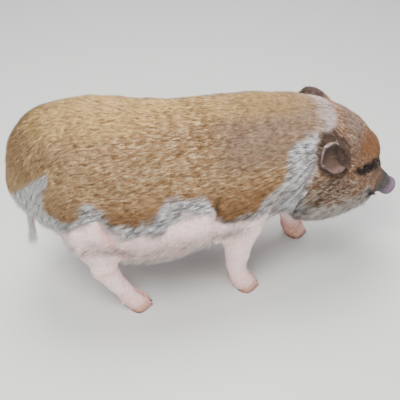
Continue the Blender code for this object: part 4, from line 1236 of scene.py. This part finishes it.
def tinted(name, attribute, roughness, sheen, layers):
    """A material in the piece's own colours, mottled; a layer of relief is scale, detail and depth."""
    material, tree, principled, place = shader(name)
    noise = node(tree, "TexNoise", {"Vector": place, "Scale": 160.0, "Detail": 4.0})
    spread = node(tree, "MapRange", {
        "Value": noise.outputs["Fac"], "From Min": 0.3, "From Max": 0.7, "To Min": 0.82, "To Max": 1.15,
    })
    colour = node(tree, "Attribute", {}, attribute_name=attribute)
    shade = {0: colour.outputs["Color"], "Scale": spread.outputs["Result"]}
    shade = node(tree, "VectorMath", shade, operation="SCALE").outputs["Vector"]
    plug(tree, principled, {"Base Color": shade, "Roughness": roughness, "Specular IOR Level": sheen})
    relief = {}
    for scale, detail, depth in layers:
        noise = node(tree, "TexNoise", {"Vector": place, "Scale": scale, "Detail": detail})
        bump = node(tree, "Bump", {"Distance": depth, "Height": noise.outputs["Fac"], **relief})
        relief = {"Normal": bump.outputs["Normal"]}
    plug(tree, principled, relief)
    return material


def horn_material():
    """Pinkish horn with faint growth rings, darker at its lowest edge, by height above the floor."""
    material, tree, principled, place = shader("horn")
    height = node(tree, "SeparateXYZ", {"Vector": place}).outputs["Z"]
    noise = node(tree, "TexNoise", {"Vector": place, "Scale": 110.0, "Detail": 4.0}).outputs["Fac"]
    height = node(tree, "Math", {0: noise, 1: 0.014, 2: height}, operation="MULTIPLY_ADD").outputs["Value"]
    spread = node(tree, "MapRange", {"Value": height, "From Min": 0.006, "From Max": 0.036})
    shades = node(tree, "ValToRGB", {"Fac": spread.outputs["Result"]})
    stops = ((0.0, (84, 58, 46)), (0.16, (158, 112, 92)), (0.45, (206, 156, 138)), (1.0, (222, 174, 160)))
    for position, _ in stops[1:-1]:
        shades.color_ramp.elements.new(position)
    for element, (position, colour) in zip(shades.color_ramp.elements, stops):
        element.position = position
        element.color = (*linear(*colour), 1.0)
    rings = {"Vector": place, "Scale": 62.0, "Distortion": 7.0, "Detail": 3.0, "Detail Scale": 1.6}
    rings = node(tree, "TexWave", rings, bands_direction="Z").outputs["Fac"]
    bump = node(tree, "Bump", {"Distance": 0.00025, "Height": rings}).outputs["Normal"]
    plug(tree, principled, {"Base Color": shades.outputs["Color"], "Roughness": 0.45, "Normal": bump})
    return material


def slice_off(obj, point, normal):
    """Cuts away what lies on the normal's side of a plane and closes the cut."""
    bm = opened(obj)
    geometry = [*bm.verts, *bm.edges, *bm.faces]
    cut = bmesh.ops.bisect_plane(
        bm, geom=geometry, dist=1e-6, plane_co=point, plane_no=normal, clear_outer=True
    )
    rim = [item for item in cut["geom_cut"] if isinstance(item, bmesh.types.BMEdge)]
    bmesh.ops.contextual_create(bm, geom=rim)
    bmesh.ops.recalc_face_normals(bm, faces=bm.faces)
    closed(bm, obj)


def make_claw(name, foot, side):
    """One claw that stands flat on the ground beside the cleft."""
    stations = [(foot.x + CLAW_AHEAD + ahead, foot.y, *section, 0.0) for ahead, *section in CLAW]
    claw = loft(name, stations, 40, 24)
    up = Vector((-CORONET_SLOPE, 0.0, 1.0)).normalized()
    slice_off(claw, Vector((0, foot.y + side * CLEFT, 0)), LEFT * -side)
    slice_off(claw, Vector((foot.x, foot.y, CORONET_HEIGHT)) - up * GAP, up)
    slice_off(claw, Vector((0, 0, 0)), -UP)
    points = corner_values(claw.data, "co")
    tip = ramp(points[:, 0] - foot.x, 0.002, 0.038) * ramp(points[:, 2], 0.034, 0.010)
    aside = points[:, 1] - foot.y
    inner = ramp(np.abs(aside), 0.018, 0.0)
    points[:, 1] = foot.y + aside * (1 - 0.40 * tip) + side * 0.0048 * tip * inner
    points[:, 0] += 0.0025 * tip * ramp(points[:, 2], 0.014, 0.0)
    set_coordinates(claw.data, points)
    return claw


def make_dewclaw(name, rows, side):
    """A small claw that hangs behind the pastern."""
    ankle = Vector((*(float(value) for value in leg_values(rows, DEWCLAW_HEIGHT, 0, 1)), DEWCLAW_HEIGHT))
    start = ankle + LEFT * side * DEWCLAW_SIDE
    way = Vector((-0.72, side * 0.22, -0.66)).normalized()
    stations = [(*(start + way * along), wide, wide * 0.8, wide * 0.8, 0.0) for along, wide in DEWCLAW]
    return loft(name, stations, 24, 20)


def make_horn():
    """Every claw and dewclaw, each with the node that it takes the place of."""
    horn = []
    for leg_name, rows in LEGS.items():
        foot = Vector(rows[FOOT_ROW][:3])
        outward = 1 if foot.y > 0 else -1
        sides = (("outer", outward), ("inner", -outward))
        for label, side in sides:
            claw = make_claw(f"claw_{leg_name}_{label}", foot, side)
            horn.append((claw, f"hoof_{leg_name}_{label}"))
        for label, side in sides:
            dewclaw = make_dewclaw(f"spur_{leg_name}_{label}", rows, side)
            horn.append((dewclaw, f"dewclaw_{leg_name}_{label}"))
    return horn


def make_eyeball(name, centre, out):
    """An eyeball with pupil, iris and dark rim, which look out of the head."""
    bm = bmesh.new()
    bmesh.ops.create_uvsphere(bm, u_segments=96, v_segments=64, radius=EYE_RADIUS)
    bmesh.ops.translate(bm, vec=centre, verts=bm.verts)
    eyeball = draw(bm, name)
    offset = corner_values(eyeball.data, "co") - np.array(centre)
    depth = offset @ np.array(out)
    away = np.where(depth > 0, np.linalg.norm(offset - np.outer(depth, out), axis=1), 1.0)
    rings = [(ramp(away, outer, inner), colour) for outer, inner, colour in EYE_RINGS]
    store(eyeball.data, "eye_colour", paint(np.tile(linear(70, 52, 44), (len(offset), 1)), *rings))
    return eyeball


def keep(obj, slot_name, *nodes):
    obj.data.transform(Matrix.Translation(SETTLE))
    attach(obj, "root")
    if nodes:
        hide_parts(*nodes)


def area_light(name, place, size, power):
    """A soft light that looks at the middle of the body."""
    light = bpy.data.lights.new(name, "AREA")
    light.energy = power
    light.size = size
    turn(new_object(name, light), Vector(place), Vector((0, 0, 0.25)) - Vector(place))


def turn(obj, place, way):
    obj.location = place
    obj.rotation_mode = "QUATERNION"
    obj.rotation_quaternion = way.to_track_quat("-Z", "Y")
    return obj


horn = make_horn()
sample_claw = corner_values(horn[0][0].data, "co")
low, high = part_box(horn[0][1])
SETTLE = (low + high) / 2 - Vector((sample_claw.min(axis=0) + sample_claw.max(axis=0)) / 2)
SETTLE.z = 0.0
for claw, node_name in horn:
    set_coordinates(claw.data, small_feet(corner_values(claw.data, "co")))
EYES = eye_frames()
EAR_ROOTS = {}

skin = make_skin()
mouth_line = sculpt(skin)
store(skin.data, "skin_colour", np.clip(skin_colours(corner_values(skin.data, "co"), mouth_line), 0, 1))
skin.data.materials.clear()
relief = ((900.0, 3.0, 0.0006), (260.0, 5.0, 0.0012))
skin.data.materials.append(tinted("skin", "skin_colour", 0.58, 0.30, relief))
hair = tinted("hair", "hair_colour", 0.62, 0.18, ())
for piece in [*make_coat(skin, hair), make_lashes(skin, hair)]:
    keep(piece, "torso")
keep(smooth_shading(skin), "torso", "torso", "neck", "head", "snout", "ear_right", "ear_left", *LEGS, "tail")

nail = horn_material()
for claw, node_name in horn:
    claw.data.materials.append(nail)
    keep(smooth_shading(claw), "hoof", node_name)

eye_glass = tinted("eye", "eye_colour", 0.16, 0.15, ())
for node_name, centre, _, _, out in EYES:
    eyeball = make_eyeball(node_name.replace("eye", "eyeball"), centre, out)
    eyeball.data.materials.append(eye_glass)
    keep(smooth_shading(eyeball), "eye", node_name)

# Floor, light and camera
bm = bmesh.new()
bmesh.ops.create_grid(bm, x_segments=1, y_segments=1, size=12.0)
floor = draw(bm, "floor")
material, tree, principled, place = shader("floor")
plug(tree, principled, {"Base Color": (*linear(205, 205, 200), 1.0), "Roughness": 0.9})
floor.data.materials.append(material)
area_light("key_light", (-0.7, -1.2, 2.5), 1.1, 100)
area_light("top_light", (-0.1, 0.5, 2.7), 1.4, 96)
area_light("fill_light", (1.3, -2.2, 1.2), 2.0, 30)
world = bpy.data.worlds.new("studio")
world.use_nodes = True
background = world.node_tree.nodes["Background"]
plug(world.node_tree, background, {"Color": (0.82, 0.90, 1.0, 1.0), "Strength": 0.46})
bpy.context.scene.world = world

camera_data = bpy.data.cameras.new("camera")
camera_data.sensor_width = SENSOR
camera_data.lens = PIXELS_PER_METRE * CAMERA_DISTANCE * SENSOR / IMAGE_SIZE
away = Vector(CAMERA_BACK)
camera = turn(new_object("camera", camera_data), CAMERA_TARGET + SETTLE + away * CAMERA_DISTANCE, -away)
bpy.context.scene.camera = camera
